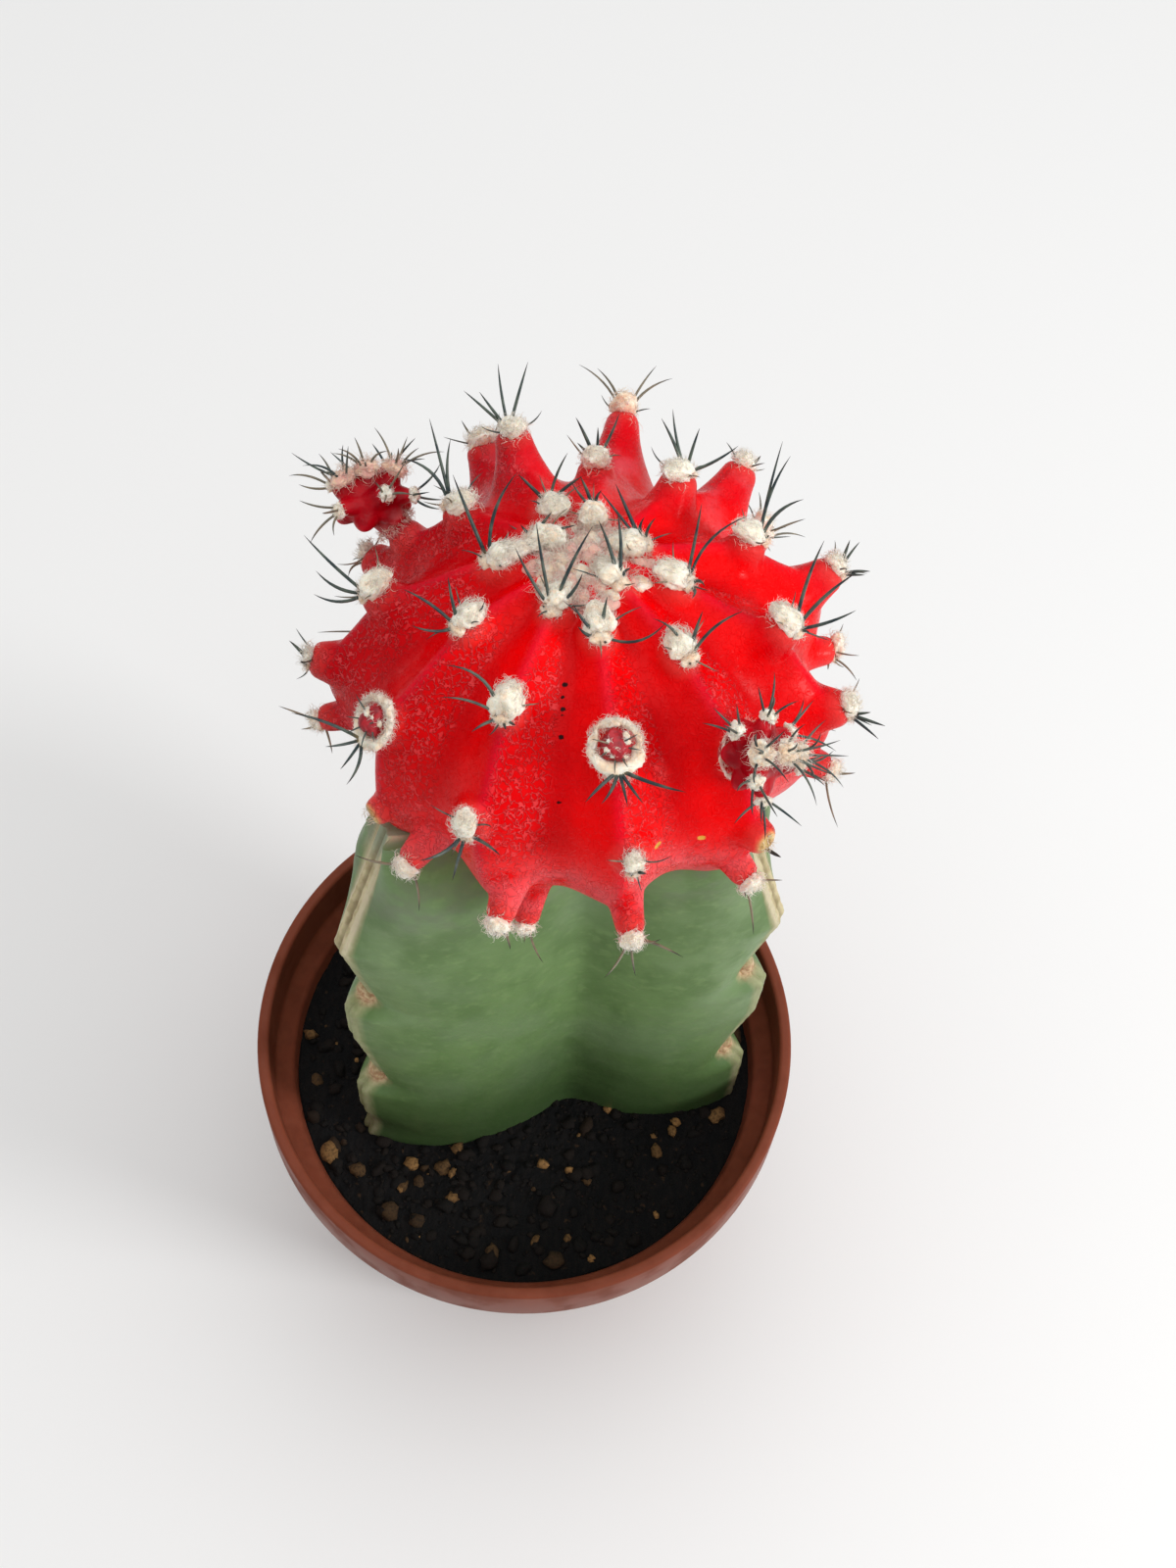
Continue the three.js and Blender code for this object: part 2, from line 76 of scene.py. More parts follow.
def piece_from(name, places, faces, edges=()):
    """A new object from vertex places in millimetres and its faces."""
    mesh = bpy.data.meshes.new(name)
    mesh.from_pydata((np.asarray(places) * MM).tolist(), edges, np.asarray(faces).tolist())
    piece = bpy.data.objects.new(name, mesh)
    bpy.context.scene.collection.objects.link(piece)
    choose(piece)
    return piece


def added(add_tool, **settings):
    """A new object made with an add tool, as the only selected one."""
    bpy.ops.object.select_all(action="DESELECT")
    add_tool(**settings)
    return bpy.context.object


def edit(piece, *steps):
    """Runs mesh tools, each with its settings, on the whole of an object in edit mode."""
    choose(piece)
    bpy.ops.object.mode_set(mode="EDIT")
    for tool, settings in steps:
        bpy.ops.mesh.select_all(action="SELECT")
        tool(**settings)
    bpy.ops.object.mode_set(mode="OBJECT")


def places_of(piece):
    """Vertex places of an object, in millimetres."""
    places = np.empty(len(piece.data.vertices) * 3)
    piece.data.vertices.foreach_get("co", places)
    return places.reshape(-1, 3) / MM


def move_to(piece, places):
    """Puts every vertex of an object at its new place, in millimetres."""
    piece.data.vertices.foreach_set("co", (np.asarray(places) * MM).ravel())
    piece.data.update()


def modify(piece, kind, **settings):
    """Adds a modifier with its settings, and applies it."""
    choose(piece)
    bpy.ops.object.modifier_add(type=kind)
    modifier = piece.modifiers[-1]
    for key, value in settings.items():
        setattr(modifier, key, value)
    bpy.ops.object.modifier_apply(modifier=modifier.name)


def combine(piece, other, operation="DIFFERENCE"):
    """Cuts one closed object out of another or joins it to it, and removes it."""
    modify(piece, "BOOLEAN", operation=operation, solver="MANIFOLD", object=other)
    bpy.data.objects.remove(other)


def mark(piece, name, values):
    """Stores one number for each vertex under a name that a material can read."""
    layer = piece.data.attributes.new(name, "FLOAT", "POINT")
    layer.data.foreach_set("value", np.ascontiguousarray(values, dtype=np.float32))


def dress(piece, material, slot, *nodes, smooth_angle=None):
    """Gives a finished piece its material, its smooth shading and its place in the frame."""
    piece.data.materials.clear()
    piece.data.materials.append(material)
    choose(piece)
    if smooth_angle is None:
        bpy.ops.object.shade_smooth()
    else:
        bpy.ops.object.shade_smooth_by_angle(angle=math.radians(smooth_angle))
    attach(piece, "root")
    if nodes:
        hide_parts(*nodes)


def new_material(name, **numbers):
    """Starts a material, which the calls below add to, with plain numbers set on its main shader."""
    global nodes, links, shader
    material = bpy.data.materials.new(name)
    material.use_nodes = True
    nodes, links = material.node_tree.nodes, material.node_tree.links
    shader = nodes["Principled BSDF"]
    for key, value in numbers.items():
        shader.inputs[key.replace("_", " ").title().replace("Ior", "IOR")].default_value = value
    return material


def feed(socket, value):
    """Links a value to a socket, or sets it there."""
    if isinstance(value, bpy.types.NodeSocket):
        links.new(value, socket)
    else:
        socket.default_value = value


def part(kind, values=(), **settings):
    """Adds a shader node with settings, and feeds its sockets by name or number."""
    made = nodes.new("ShaderNode" + kind)
    for key, value in settings.items():
        setattr(made, key, value)
    for key, value in dict(values).items():
        feed(made.inputs[key], value)
    return made


def position():
    return part("TexCoord").outputs["Object"]


def height_in_metres():
    """Height above the table."""
    return part("SeparateXYZ", {0: position()}).outputs[2]


def grain(size, detail=3.0, stretch=(1, 1, 1), distortion=0.0):
    """Soft noise whose lumps measure about size millimetres."""
    place = part("Mapping", {"Vector": position(), "Scale": stretch}).outputs[0]
    values = {"Vector": place, "Scale": 1 / (size * MM), "Detail": detail, "Distortion": distortion}
    return part("TexNoise", values).outputs["Fac"]


def cells(size, feature="F1", stretch=(1, 1, 1), wander=0.0):
    """Cell pattern of about size millimetres, with its grid bent by noise."""
    place = part("Mapping", {"Vector": position(), "Scale": stretch}).outputs[0]
    if wander:
        bend = part("TexNoise", {"Vector": place, "Scale": 0.6 / (size * MM)}).outputs["Color"]
        offset = part("VectorMath", {0: bend, 3: wander * size * MM}, operation="SCALE").outputs[0]
        place = part("VectorMath", {0: place, 1: offset}, operation="ADD").outputs[0]
    values = {"Vector": place, "Scale": 1 / (size * MM)}
    return part("TexVoronoi", values, feature=feature).outputs["Distance"]


def between(value, low, high, start=0.0, end=1.0):
    """Maps a value from low..high to start..end, smoothly and clamped."""
    values = {"Value": value, "From Min": low, "From Max": high, "To Min": start, "To Max": end}
    return part("MapRange", values, interpolation_type="SMOOTHSTEP").outputs["Result"]


def times(first, second):
    return part("Math", {0: first, 1: second}, operation="MULTIPLY").outputs[0]


def plus(first, second):
    return part("Math", {0: first, 1: second}, operation="ADD").outputs[0]


def read(name):
    return part("Attribute", attribute_name=name).outputs["Fac"]


def rgb(red, green, blue):
    """A display colour of 0 to 255 as the shader's linear colour."""
    def linear(level):
        level /= 255
        return level / 12.92 if level <= 0.04045 else ((level + 0.055) / 1.055) ** 2.4
    return (linear(red), linear(green), linear(blue), 1.0)


def mixed(amount, first, second):
    """First colour, turning into the second one as the amount goes from 0 to 1."""
    return part("Mix", {0: amount, 6: first, 7: second}, data_type="RGBA").outputs[2]


def tinted(colour, amount, strength, tint):
    """A colour that turns by a share of the amount into a tint."""
    return mixed(times(amount, strength), colour, tint)


def paint(colour, *layers, roughness=None):
    """Feeds the main shader: colour, roughness, and bump layers of height, strength and depth in mm."""
    feed(shader.inputs["Base Color"], colour)
    if roughness is not None:
        feed(shader.inputs["Roughness"], roughness)
    below = {}
    for height, strength, depth in layers:
        bump = part("Bump", {"Height": height, "Strength": strength, "Distance": depth * MM, **below})
        below = {"Normal": bump.outputs[0]}
    feed(shader.inputs["Normal"], bump.outputs[0])


collar_foot = POT_HEIGHT - COLLAR_HEIGHT
wall_at_collar = pot_inside(collar_foot) + POT_WALL
collar_inside = POT_RIM_RADIUS - POT_WALL - 0.1
pot_profile = [
    (0, 0), (POT_FOOT_RADIUS, 0), (wall_at_collar, collar_foot), (POT_RIM_RADIUS, collar_foot + 0.4),
    (POT_RIM_RADIUS, POT_HEIGHT), (collar_inside, POT_HEIGHT), (collar_inside - 0.2, collar_foot + 1.4),
    (pot_inside(collar_foot), collar_foot + 0.2), (pot_inside(POT_FLOOR), POT_FLOOR), (0, POT_FLOOR),
]
profile_edges = [(i, i + 1) for i in range(len(pot_profile) - 1)]
pot = piece_from("plastic_pot", [(radius, 0, height) for radius, height in pot_profile], (), profile_edges)
edit(pot, (bpy.ops.mesh.spin, dict(steps=POT_SIDES, angle=2 * math.pi, center=(0, 0, 0), axis=(0, 0, 1))),
     (bpy.ops.mesh.remove_doubles, dict(threshold=0.01 * MM)),
     (bpy.ops.mesh.normals_make_consistent, dict(inside=False)))
modify(pot, "BEVEL", width=RIM_ROUNDING * MM, segments=4, limit_method="ANGLE", angle_limit=math.radians(25))
for hole in range(DRAIN_HOLES):
    turn = 2 * math.pi * hole / DRAIN_HOLES
    centre = (DRAIN_CIRCLE * math.cos(turn) * MM, DRAIN_CIRCLE * math.sin(turn) * MM, 0)
    combine(pot, added(bpy.ops.mesh.primitive_cylinder_add, vertices=40, radius=DRAIN_RADIUS * MM,
                       depth=6 * MM, location=centre))

plastic = new_material("brown_plastic", roughness=0.5, specular_ior_level=0.06,
                       subsurface_weight=0.12, subsurface_radius=(1.0, 0.35, 0.15), subsurface_scale=1.2 * MM)
scuffs = between(grain(5.0, 5.0), 0.42, 0.72)
streaks = between(grain(1.6, 4.0, (1, 1, 0.15)), 0.4, 0.75)
plastic_colour = mixed(scuffs, rgb(124, 64, 46), rgb(113, 57, 40))
plastic_colour = tinted(plastic_colour, streaks, 0.22, rgb(140, 80, 60))
# Darker brown patches on the wall, fading in from 46 mm down to 40 mm above the table
lower_dark_patches = times(between(height_in_metres(), 46 * MM, 40 * MM), between(grain(1.1), 0.45, 0.65))
plastic_colour = tinted(plastic_colour, lower_dark_patches, 0.14, rgb(66, 36, 26))
paint(plastic_colour, (grain(0.35, 2.0), 0.25, 0.03), (grain(4.0), 0.2, 0.05),
      roughness=between(scuffs, 0, 1, 0.36, 0.55))
dress(pot, plastic, "pot", "pot", smooth_angle=35)

# Rootstock
# The green stem of a climbing cactus, grown as one piece, with three broad ribs. Each rib ends
# in a corky tan margin with a groove along it, scalloped into teeth with a small areole in each
# notch. The grafter cut its top flat, and the margins left beside the head have healed over.
SOIL_TOP = POT_HEIGHT - 9.0
STEM_AXIS = np.array((4.0, 4.5))
STEM_BOTTOM = SOIL_TOP - 18.0
STEM_UNION = POT_HEIGHT + 56.0
STEM_TOP = POT_HEIGHT + 64.5
STEM_VALLEY = 8.7
VALLEY_ROUNDING = 0.55
# For each rib, the azimuth, how far its margin stands out, and the height of its highest tooth
STEM_RIBS = ((99.0, 19.5, POT_HEIGHT + 48.0), (214.0, 25.6, POT_HEIGHT + 45.0),
             (344.0, 21.2, POT_HEIGHT + 41.0))
TOOTH_PITCH = 23.0
TOOTH_DEPTH = 2.4
NOTCH_AT = 0.58
NOTCH_RISE = 0.14
EDGE_LEAN = 0.3
BURIED_LEAN = 0.35
TOP_THINNING = 0.7
EDGE_WIDTH = 1.9
EDGE_GROOVE = 0.3
NOTCH_AREOLE = 1.1
NOTCH_SINK = 0.25
FLANK_STEPS = 34
EDGE_STEPS = 12
STEM_LEVELS = 210


def smooth(value, low, high):
    """Goes smoothly from 0 at low to 1 at high."""
    t = np.clip((np.asarray(value, dtype=float) - low) / (high - low), 0, 1)
    return t * t * (3 - 2 * t)


def wobble(points, size, seed=0.0):
    """Soft noise from -1 to 1 for each point, with lumps of about size millimetres."""
    shift = Vector((seed, seed * 2.3, -seed))
    return np.array([noise.noise(Vector(p) / size + shift) for p in np.asarray(points)])


def edge_reach(rib, height):
    """How far a rib's margin stands from the stem's axis at each height."""
    _, reach, tooth = STEM_RIBS[rib]
    above = (height - tooth) * EDGE_LEAN
    buried = (SOIL_TOP - height) * BURIED_LEAN
    from_tooth = ((tooth - height) / TOOTH_PITCH) % 1
    slant = np.minimum(from_tooth / NOTCH_AT, 1)
    rise = 1 - smooth(from_tooth, NOTCH_AT, NOTCH_AT + NOTCH_RISE)
    teeth = TOOTH_DEPTH * slant * rise * smooth(height, SOIL_TOP, SOIL_TOP + 5)
    return reach - np.where(height > tooth, above, np.where(height < SOIL_TOP, buried, teeth))


def stem_ring(height):
    """One closed ring of the stem's outline at a height, counted leftwards seen from above."""
    ring = []
    thinning = 1 - TOP_THINNING * smooth(height, STEM_UNION, STEM_TOP)
    share = np.arange(FLANK_STEPS) / FLANK_STEPS
    soft = VALLEY_ROUNDING
    rise = (np.hypot(share, soft) - soft) / (math.hypot(1, soft) - soft)
    narrowing = 1 + (thinning - 1) * np.minimum(share / 0.15, 1)
    count = len(STEM_RIBS)
    for rib, (azimuth, reach, _) in enumerate(STEM_RIBS):
        before = STEM_RIBS[rib - 1][0] - (360 if rib == 0 else 0)
        after = STEM_RIBS[(rib + 1) % count][0] + (360 if rib == count - 1 else 0)
        tip = float(edge_reach(rib, np.array(height)))
        corner = math.degrees(EDGE_WIDTH / 2 / tip)
        radius = STEM_VALLEY + (reach - STEM_VALLEY) * rise - (reach - tip) * share ** 9 - 0.25 * share ** 8
        up = azimuth - (azimuth - before) / 2 * (1 - share) * narrowing - corner * share
        down = azimuth + (after - azimuth) / 2 * (1 - share) * narrowing + corner * share
        side = np.linspace(-1, 1, EDGE_STEPS + 1)
        edge = tip - EDGE_GROOVE * np.exp(-((side / 0.25) ** 2)) - 0.3 * side ** 8
        turns = np.radians(np.concatenate([up, azimuth + corner * side, down[:0:-1]]))
        reaches = np.concatenate([radius, edge, radius[:0:-1]])
        x, y = STEM_AXIS[0] + reaches * np.cos(turns), STEM_AXIS[1] + reaches * np.sin(turns)
        ring.extend(zip(x, y, np.full(len(turns), height)))
    return ring


def tube_of(rings):
    """Places and quads of equal closed rings, each joined to the next."""
    count = len(rings[0])
    here = np.arange(count)
    turned = (here + 1) % count
    start = (np.arange(len(rings) - 1) * count)[:, None]
    faces = np.stack([start + here, start + turned, start + count + turned, start + count + here], axis=-1)
    return np.concatenate([np.array(ring, dtype=float) for ring in rings]), faces.reshape(-1, 4)


def close_ends(piece):
    """Fills the open ends of a tube, and turns all its faces outwards."""
    edit(piece, (bpy.ops.mesh.fill_holes, dict(sides=0)),
         (bpy.ops.mesh.normals_make_consistent, dict(inside=False)))


def trim(piece, height):
    """Cuts an object flat at a height in millimetres, keeps what is above and closes the cut."""
    edit(piece, (bpy.ops.mesh.bisect, dict(plane_co=(0, 0, height * MM), plane_no=(0, 0, 1),
                                           use_fill=True, clear_inner=True)))


# The head's own frame, which the stem's seat needs first: the crown is up its lean axis, and azimuths
# are counted leftwards from the right, seen from above
HEAD_CENTRE = np.array((3.7, 6.6, POT_HEIGHT + 68.0))
HEAD_RADIUS = 20.4
HEAD_HALF_HEIGHT = 15.4
HEAD_SIZE = np.array((HEAD_RADIUS, HEAD_RADIUS, HEAD_HALF_HEIGHT))
SEAT_GAP = 1.6
head_axis = Vector((-math.tan(math.radians(3.0)), math.tan(math.radians(14.8)), 1)).normalized()
head_right = (Vector((1, 0, 0)) - head_axis * head_axis.x).normalized()
HEAD_FRAME = np.array((head_right, head_axis.cross(head_right), head_axis))


def to_world(places):
    return HEAD_CENTRE + np.asarray(places) @ HEAD_FRAME


def to_head(places):
    return (np.asarray(places) - HEAD_CENTRE) @ HEAD_FRAME.T


stem_levels = np.linspace(STEM_BOTTOM, STEM_TOP, STEM_LEVELS)
stem = piece_from("rootstock_stem", *tube_of([stem_ring(height) for height in stem_levels]))
close_ends(stem)
seat = added(bpy.ops.mesh.primitive_uv_sphere_add, segments=96, ring_count=48, radius=MM)
move_to(seat, to_world(places_of(seat) * (HEAD_SIZE - SEAT_GAP)))
trim(seat, STEM_UNION)
combine(stem, seat)
# Each areole of the stem: the direction of its rib and its centre, a little inside the margin
notches = []
for rib, (azimuth, _, tooth) in enumerate(STEM_RIBS):
    turn = math.radians(azimuth)
    height = tooth - TOOTH_PITCH * (NOTCH_AT + 0.02)
    while height > SOIL_TOP + 2:
        out = float(edge_reach(rib, np.array(height))) - NOTCH_SINK
        place = (STEM_AXIS[0] + out * math.cos(turn), STEM_AXIS[1] + out * math.sin(turn), height)
        notches.append((turn, place))
        height -= TOOTH_PITCH
for turn, place in notches:
    areole = added(bpy.ops.mesh.primitive_ico_sphere_add, subdivisions=4, radius=NOTCH_AREOLE * MM)
    lump = places_of(areole) * (0.9, 1.0, 1.35)
    lump = lump * (1 + 0.22 * wobble(lump, 0.7, place[2]))[:, None]
    spin = np.array(((math.cos(turn), math.sin(turn), 0), (-math.sin(turn), math.cos(turn), 0), (0, 0, 1)))
    move_to(areole, lump @ spin + place)
    combine(stem, areole, "UNION")
places = places_of(stem)
from_axis = places[:, :2] - STEM_AXIS
outward = from_axis / np.linalg.norm(from_axis, axis=1)[:, None]
horn, groove, areole_near = np.zeros(len(places)), np.zeros(len(places)), np.zeros(len(places))
for rib, (azimuth, _, tooth) in enumerate(STEM_RIBS):
    turn = math.radians(azimuth)
    along = from_axis @ (math.cos(turn), math.sin(turn))
    across = from_axis @ (-math.sin(turn), math.cos(turn))
    tip = edge_reach(rib, places[:, 2])
    ragged = 0.25 * wobble(places, 1.3, 5.0 + rib)
    band = smooth(along, tip - 1.5, tip - 0.7 + ragged) * (1 - smooth(np.abs(across), 1.15, 1.5))
    band *= 0.4 + 0.6 * smooth(places[:, 2], tooth - 5, tooth + 2)
    horn = np.maximum(horn, band)
    line = np.exp(-((across / 0.3) ** 2)) - 0.8 * np.exp(-(((np.abs(across) - 0.85) / 0.22) ** 2))
    groove += band * line
for _, place in notches:
    areole_near = np.maximum(areole_near, 1 - smooth(np.linalg.norm(places - place, axis=1), 0.9, 2.1))
flank = (1 - horn) * smooth(places[:, 2], SOIL_TOP, SOIL_TOP + 3)
relief = flank * (0.22 * wobble(places, 9.0, 1.0) + 0.07 * wobble(places, 2.6, 2.0))
relief += horn * 0.14 * wobble(places, 0.9, 3.0)
places[:, :2] += outward * np.where(places[:, 2] < STEM_UNION - 0.5, relief, 0)[:, None]
move_to(stem, places)
mark(stem, "horn", horn)
mark(stem, "groove", groove)
mark(stem, "areole", areole_near)

skin = new_material("green_stem_skin", roughness=0.5, specular_ior_level=0.2,
                    subsurface_weight=0.1, subsurface_radius=(0.4, 1.0, 0.3), subsurface_scale=1.0 * MM)
mottle = between(grain(4.5, 5.0, (1, 1, 0.6)), 0.38, 0.66)
fleck = between(grain(1.2, 4.0), 0.5, 0.72)
bloom = between(grain(11.0, 3.0), 0.42, 0.68)
stem_height = height_in_metres()
green = mixed(mottle, rgb(108, 136, 84), rgb(93, 121, 70))
green = tinted(green, fleck, 0.35, rgb(128, 154, 98))
green = tinted(green, bloom, 0.4, rgb(118, 138, 104))
low_shade = between(stem_height, (SOIL_TOP + 34) * MM, (SOIL_TOP - 1) * MM)
green = tinted(green, low_shade, 0.75, rgb(50, 76, 38))
high_scar = times(between(stem_height, 96 * MM, 105 * MM), between(grain(2.2, 4.0), 0.4, 0.65))
green = tinted(green, high_scar, 0.5, rgb(108, 116, 92))
cork = mixed(between(grain(0.8, 4.0, (1, 1, 0.4)), 0.35, 0.65), rgb(178, 162, 124), rgb(208, 194, 156))
cork = mixed(between(stem_height, 106 * MM, 111 * MM), cork, rgb(150, 156, 132))
# Painted shade: the cork is darker along the groove's middle. It is paler along the margin's two edges.
cork = mixed(between(read("groove"), 0.15, 0.9, 0.0, 0.45), cork, rgb(122, 112, 82))
cork = mixed(between(read("groove"), -0.15, -0.7), cork, rgb(212, 200, 168))
stem_colour = mixed(read("horn"), green, cork)
tan = mixed(between(grain(0.5), 0.4, 0.6), rgb(172, 132, 98), rgb(206, 176, 138))
stem_colour = mixed(read("areole"), stem_colour, tan)
ragged_cork = times(grain(0.45, 4.0, (1, 1, 0.5)), read("horn"))
paint(stem_colour, (grain(0.5, 3.0), 0.25, 0.06), (grain(2.4, 3.0), 0.35, 0.25), (ragged_cork, 0.8, 0.25),
      roughness=plus(between(mottle, 0, 1, 0.4, 0.52), times(read("horn"), 0.3)))
dress(stem, skin, "rootstock", "rootstock", smooth_angle=50)

# Peat
# The pot's fill of damp black peat, level with the foot of the collar and packed round the stem.
# Its surface is fibrous and uneven, strewn with loose crumbs and with bits of pale bark and grit.
PEAT_GAP = 0.05
PEAT_EDGE = pot_inside(SOIL_TOP) - PEAT_GAP
PEAT_LOW_RING = 12.0
PEAT_RINGS = 84
PEAT_SIDES = 200
CRUMBS = 1700
# Lumps of pale bark: their places from the pot's axis and their sizes
BARK = np.array((
    (-25.0, 0.9, 1.1), (-23.6, -4.6, 0.9), (-23.4, -9.0, 1.2), (-21.0, -13.0, 1.3), (-17.6, -14.8, 1.1),
    (-13.6, -19.1, 1.1), (-6.7, -17.1, 0.8), (5.4, -23.3, 1.1), (15.9, -9.8, 1.1), (17.6, -7.3, 0.9),
    (22.5, -4.8, 0.9), (24.3, 5.0, 1.3), (-11.7, -13.4, 0.8), (-19.6, -11.6, 0.7), (3.0, -21.0, 0.6),
))


def peat_surface(x, y):
    """Height of the peat's surface at each place."""
    flat = np.stack([x, y, np.zeros_like(x)], axis=1)
    height = SOIL_TOP - 0.1 + 0.55 * wobble(flat, 7.0, 3.0) + 0.38 * wobble(flat, 2.2, 4.0)
    return height + 0.24 * wobble(flat, 0.8, 6.0)


turn = 2 * math.pi * np.arange(PEAT_SIDES) / PEAT_SIDES
rings = []
for height in (POT_FLOOR, PEAT_LOW_RING):
    radius = pot_inside(height) - PEAT_GAP
    x, y = radius * np.cos(turn), radius * np.sin(turn)
    rings.append(np.stack([x, y, np.full(PEAT_SIDES, height)], axis=1))
for radius in np.linspace(PEAT_EDGE, 0, PEAT_RINGS + 1)[:-1]:
    x, y = radius * np.cos(turn), radius * np.sin(turn)
    rings.append(np.stack([x, y, peat_surface(x, y)], axis=1))
peat = piece_from("peat_fill", *tube_of(rings))
close_ends(peat)


def template_of(model):
    """The vertex places of an object and its triangles, and removes it."""
    edit(model, (bpy.ops.mesh.quads_convert_to_tris, {}))
    places = places_of(model).round(6)
    faces = np.array([tuple(face.vertices) for face in model.data.polygons])
    bpy.data.objects.remove(model)
    return places, faces


def ball_template(subdivisions):
    return template_of(added(bpy.ops.mesh.primitive_ico_sphere_add, subdivisions=subdivisions, radius=MM))


def copies_of(faces, many, count):
    """Triangles of many copies of one template that has count vertices."""
    return (faces[None] + (np.arange(many) * count)[:, None, None]).reshape(-1, 3)


draw = np.random.default_rng(11)
crumb_places, crumb_faces = ball_template(2)
size = 0.2 + 0.85 * draw.random(CRUMBS) ** 3.5
reach = (PEAT_EDGE - 1.0) * np.sqrt(draw.random(CRUMBS))
around = 2 * math.pi * draw.random(CRUMBS)
centre = np.stack([reach * np.cos(around), reach * np.sin(around)], axis=1)
size[:len(BARK)] = BARK[:, 2]
centre[:len(BARK)] = BARK[:, :2]
crumb_height = peat_surface(centre[:, 0], centre[:, 1]) + size * draw.uniform(-0.1, 0.35, CRUMBS)
shapes = crumb_places[None] * (1 + 0.34 * draw.standard_normal((CRUMBS, len(crumb_places), 1)) * 0.5)
shapes = shapes * draw.uniform(0.55, 1.2, (CRUMBS, 1, 3)) * (1, 1, 0.7)
angle = draw.uniform(0, 2 * math.pi, CRUMBS)[:, None]
x = shapes[..., 0] * np.cos(angle) - shapes[..., 1] * np.sin(angle)
y = shapes[..., 0] * np.sin(angle) + shapes[..., 1] * np.cos(angle)
shapes = np.stack([x, y, shapes[..., 2]], axis=-1) * size[:, None, None]
shapes += np.concatenate([centre, crumb_height[:, None]], axis=1)[:, None]
crumbs = piece_from("peat_crumbs", shapes.reshape(-1, 3), copies_of(crumb_faces, CRUMBS, len(crumb_places)))
is_bark = draw.random(CRUMBS) < 0.03 + 0.12 * (size > 0.5)
is_bark[:len(BARK)] = True
pale = np.where(is_bark, draw.uniform(0.45, 1.0, CRUMBS), draw.uniform(0, 0.2, CRUMBS))
mark(crumbs, "bark", np.repeat(pale, len(crumb_places)))

peat_look = new_material("damp_peat", roughness=0.92, specular_ior_level=0.25)
fibre = between(grain(0.6, 5.0, (1, 0.3, 1)), 0.4, 0.65)
peat_colour = mixed(fibre, rgb(5, 5, 6), rgb(15, 12, 11))
peat_colour = mixed(between(grain(0.9, 3.0), 0.64, 0.74), peat_colour, rgb(50, 35, 22))
paint(peat_colour, (grain(0.35, 5.0), 0.9, 0.25), (cells(0.9), 0.6, 0.3))
dress(peat, peat_look, "soil", "soil")

crumb_look = new_material("peat_crumb", roughness=0.88, specular_ior_level=0.25)
bark = read("bark")
crumb_colour = mixed(between(bark, 0.0, 0.3), rgb(8, 7, 6), rgb(26, 18, 13))
crumb_colour = mixed(between(bark, 0.4, 1.0), crumb_colour, rgb(146, 108, 64))
spots = between(grain(0.3, 4.0), 0.4, 0.7)
crumb_colour = tinted(crumb_colour, spots, 0.6, rgb(24, 16, 11))
paint(crumb_colour, (grain(0.25, 4.0), 0.8, 0.12))
dress(crumbs, crumb_look, "soil")

# Head
# The red grafted cactus, grown as one fleshy body, flattened and leaning back, and joined to the
# stem at the flat cut. Eleven ribs swell into a tubercle under each areole. They are low mounds
# in front, long horns at the back, and round stubs low down. The skin is waxy, with a fine grain.
FIRST_RIB = 282.0
# For each rib, its areoles from the crown down: latitude, height of the tubercle, and shift of azimuth
RIB_AREOLES = (
    ((68, 1), (40, 1.4), (8, 1.6, 2), (-20, 3.1, 2)),
    ((74, 0.8), (46, 1.6), (14, 1.6, -2), (-20, 2.6, 5), (-44, 2.6, 6)),
    ((58, 1.6), (26, 2), (-10, 1.4), (-18, 1.8, 12)),
    ((70, 1.2), (40, 3), (12, 3.5), (-10, 3.2)),
    ((78, 0.8), (56, 3), (32, 1.6), (14, 3.2), (-14, 3)),
    ((72, 1.5), (54, 6.2), (30, 5.5), (2, 4.5), (-26, 3)),
    ((76, 1), (50, 2.4, 4), (23, 8), (-6, 4.5)),
    ((58, 4), (32, 5.5), (4, 4.5), (-24, 3)),
    ((78, 1), (50, 3), (24, 4.5), (-4, 2.8), (-30, 2.6)),
    ((68, 1.2), (42, 3.4), (14, 3.2), (-10, 1.9)),
    ((80, 0.8), (56, 1.4), (28, 1.6), (0, 2.4), (-20, 2.2)),
)
RIB_ANGLE = 360 / len(RIB_AREOLES)
# Areoles with an offset, with a ring of wool round a bud, and with next to no wool. The rest have a tuft.
AREOLE_KINDS = {(4, 2): "offset", (10, 2): "offset", (0, 1): "ring", (2, 1): "ring",
                (2, 2): "bare", (10, 3): "bare"}
RIB_GROOVE = 2.0
GROOVE_SHAPE = 1.35
CREST_RIDGE = 0.18
SWELLING = 0.5
SWELLING_WIDTH = 4.2
TUBERCLE_NECK = 1.55
STUB_NECK = 1.25
STUB_LATITUDE = 12.0
ROOT_DEPTH = 2.4
UNDER_OFFSET = 0.8
HEAD_VOXEL = 0.29
HEAD_SMOOTHING = 7
TUBERCLE_SIDES = 28
TUBERCLE_RINGS = 14
# Dark specks and tan scars of the skin: azimuth, latitude and radius
SPECKS = ((265.3, 55.6, 0.24), (265.2, 52.2, 0.17), (265.8, 49, 0.22), (266, 47.5, 0.16), (266.2, 41.4, 0.24),
          (266.9, 21.5, 0.22), (178.6, 47, 0.24), (150, 36, 0.24))
SCARS = ((291.5, 5, 0.34), (303.7, 0, 0.32))


def unit(vector):
    vector = np.asarray(vector, dtype=float)
    return vector / np.linalg.norm(vector, axis=-1, keepdims=True)


def skin_point(latitude, azimuth):
    """Points of the smooth body, in the head's own frame."""
    latitude, azimuth = np.radians(latitude), np.radians(azimuth)
    across = HEAD_RADIUS * np.cos(latitude)
    up = HEAD_HALF_HEIGHT * np.sin(latitude)
    return np.stack([across * np.cos(azimuth), across * np.sin(azimuth), up], axis=-1)


def way_out(points):
    return unit(points / HEAD_SIZE ** 2)


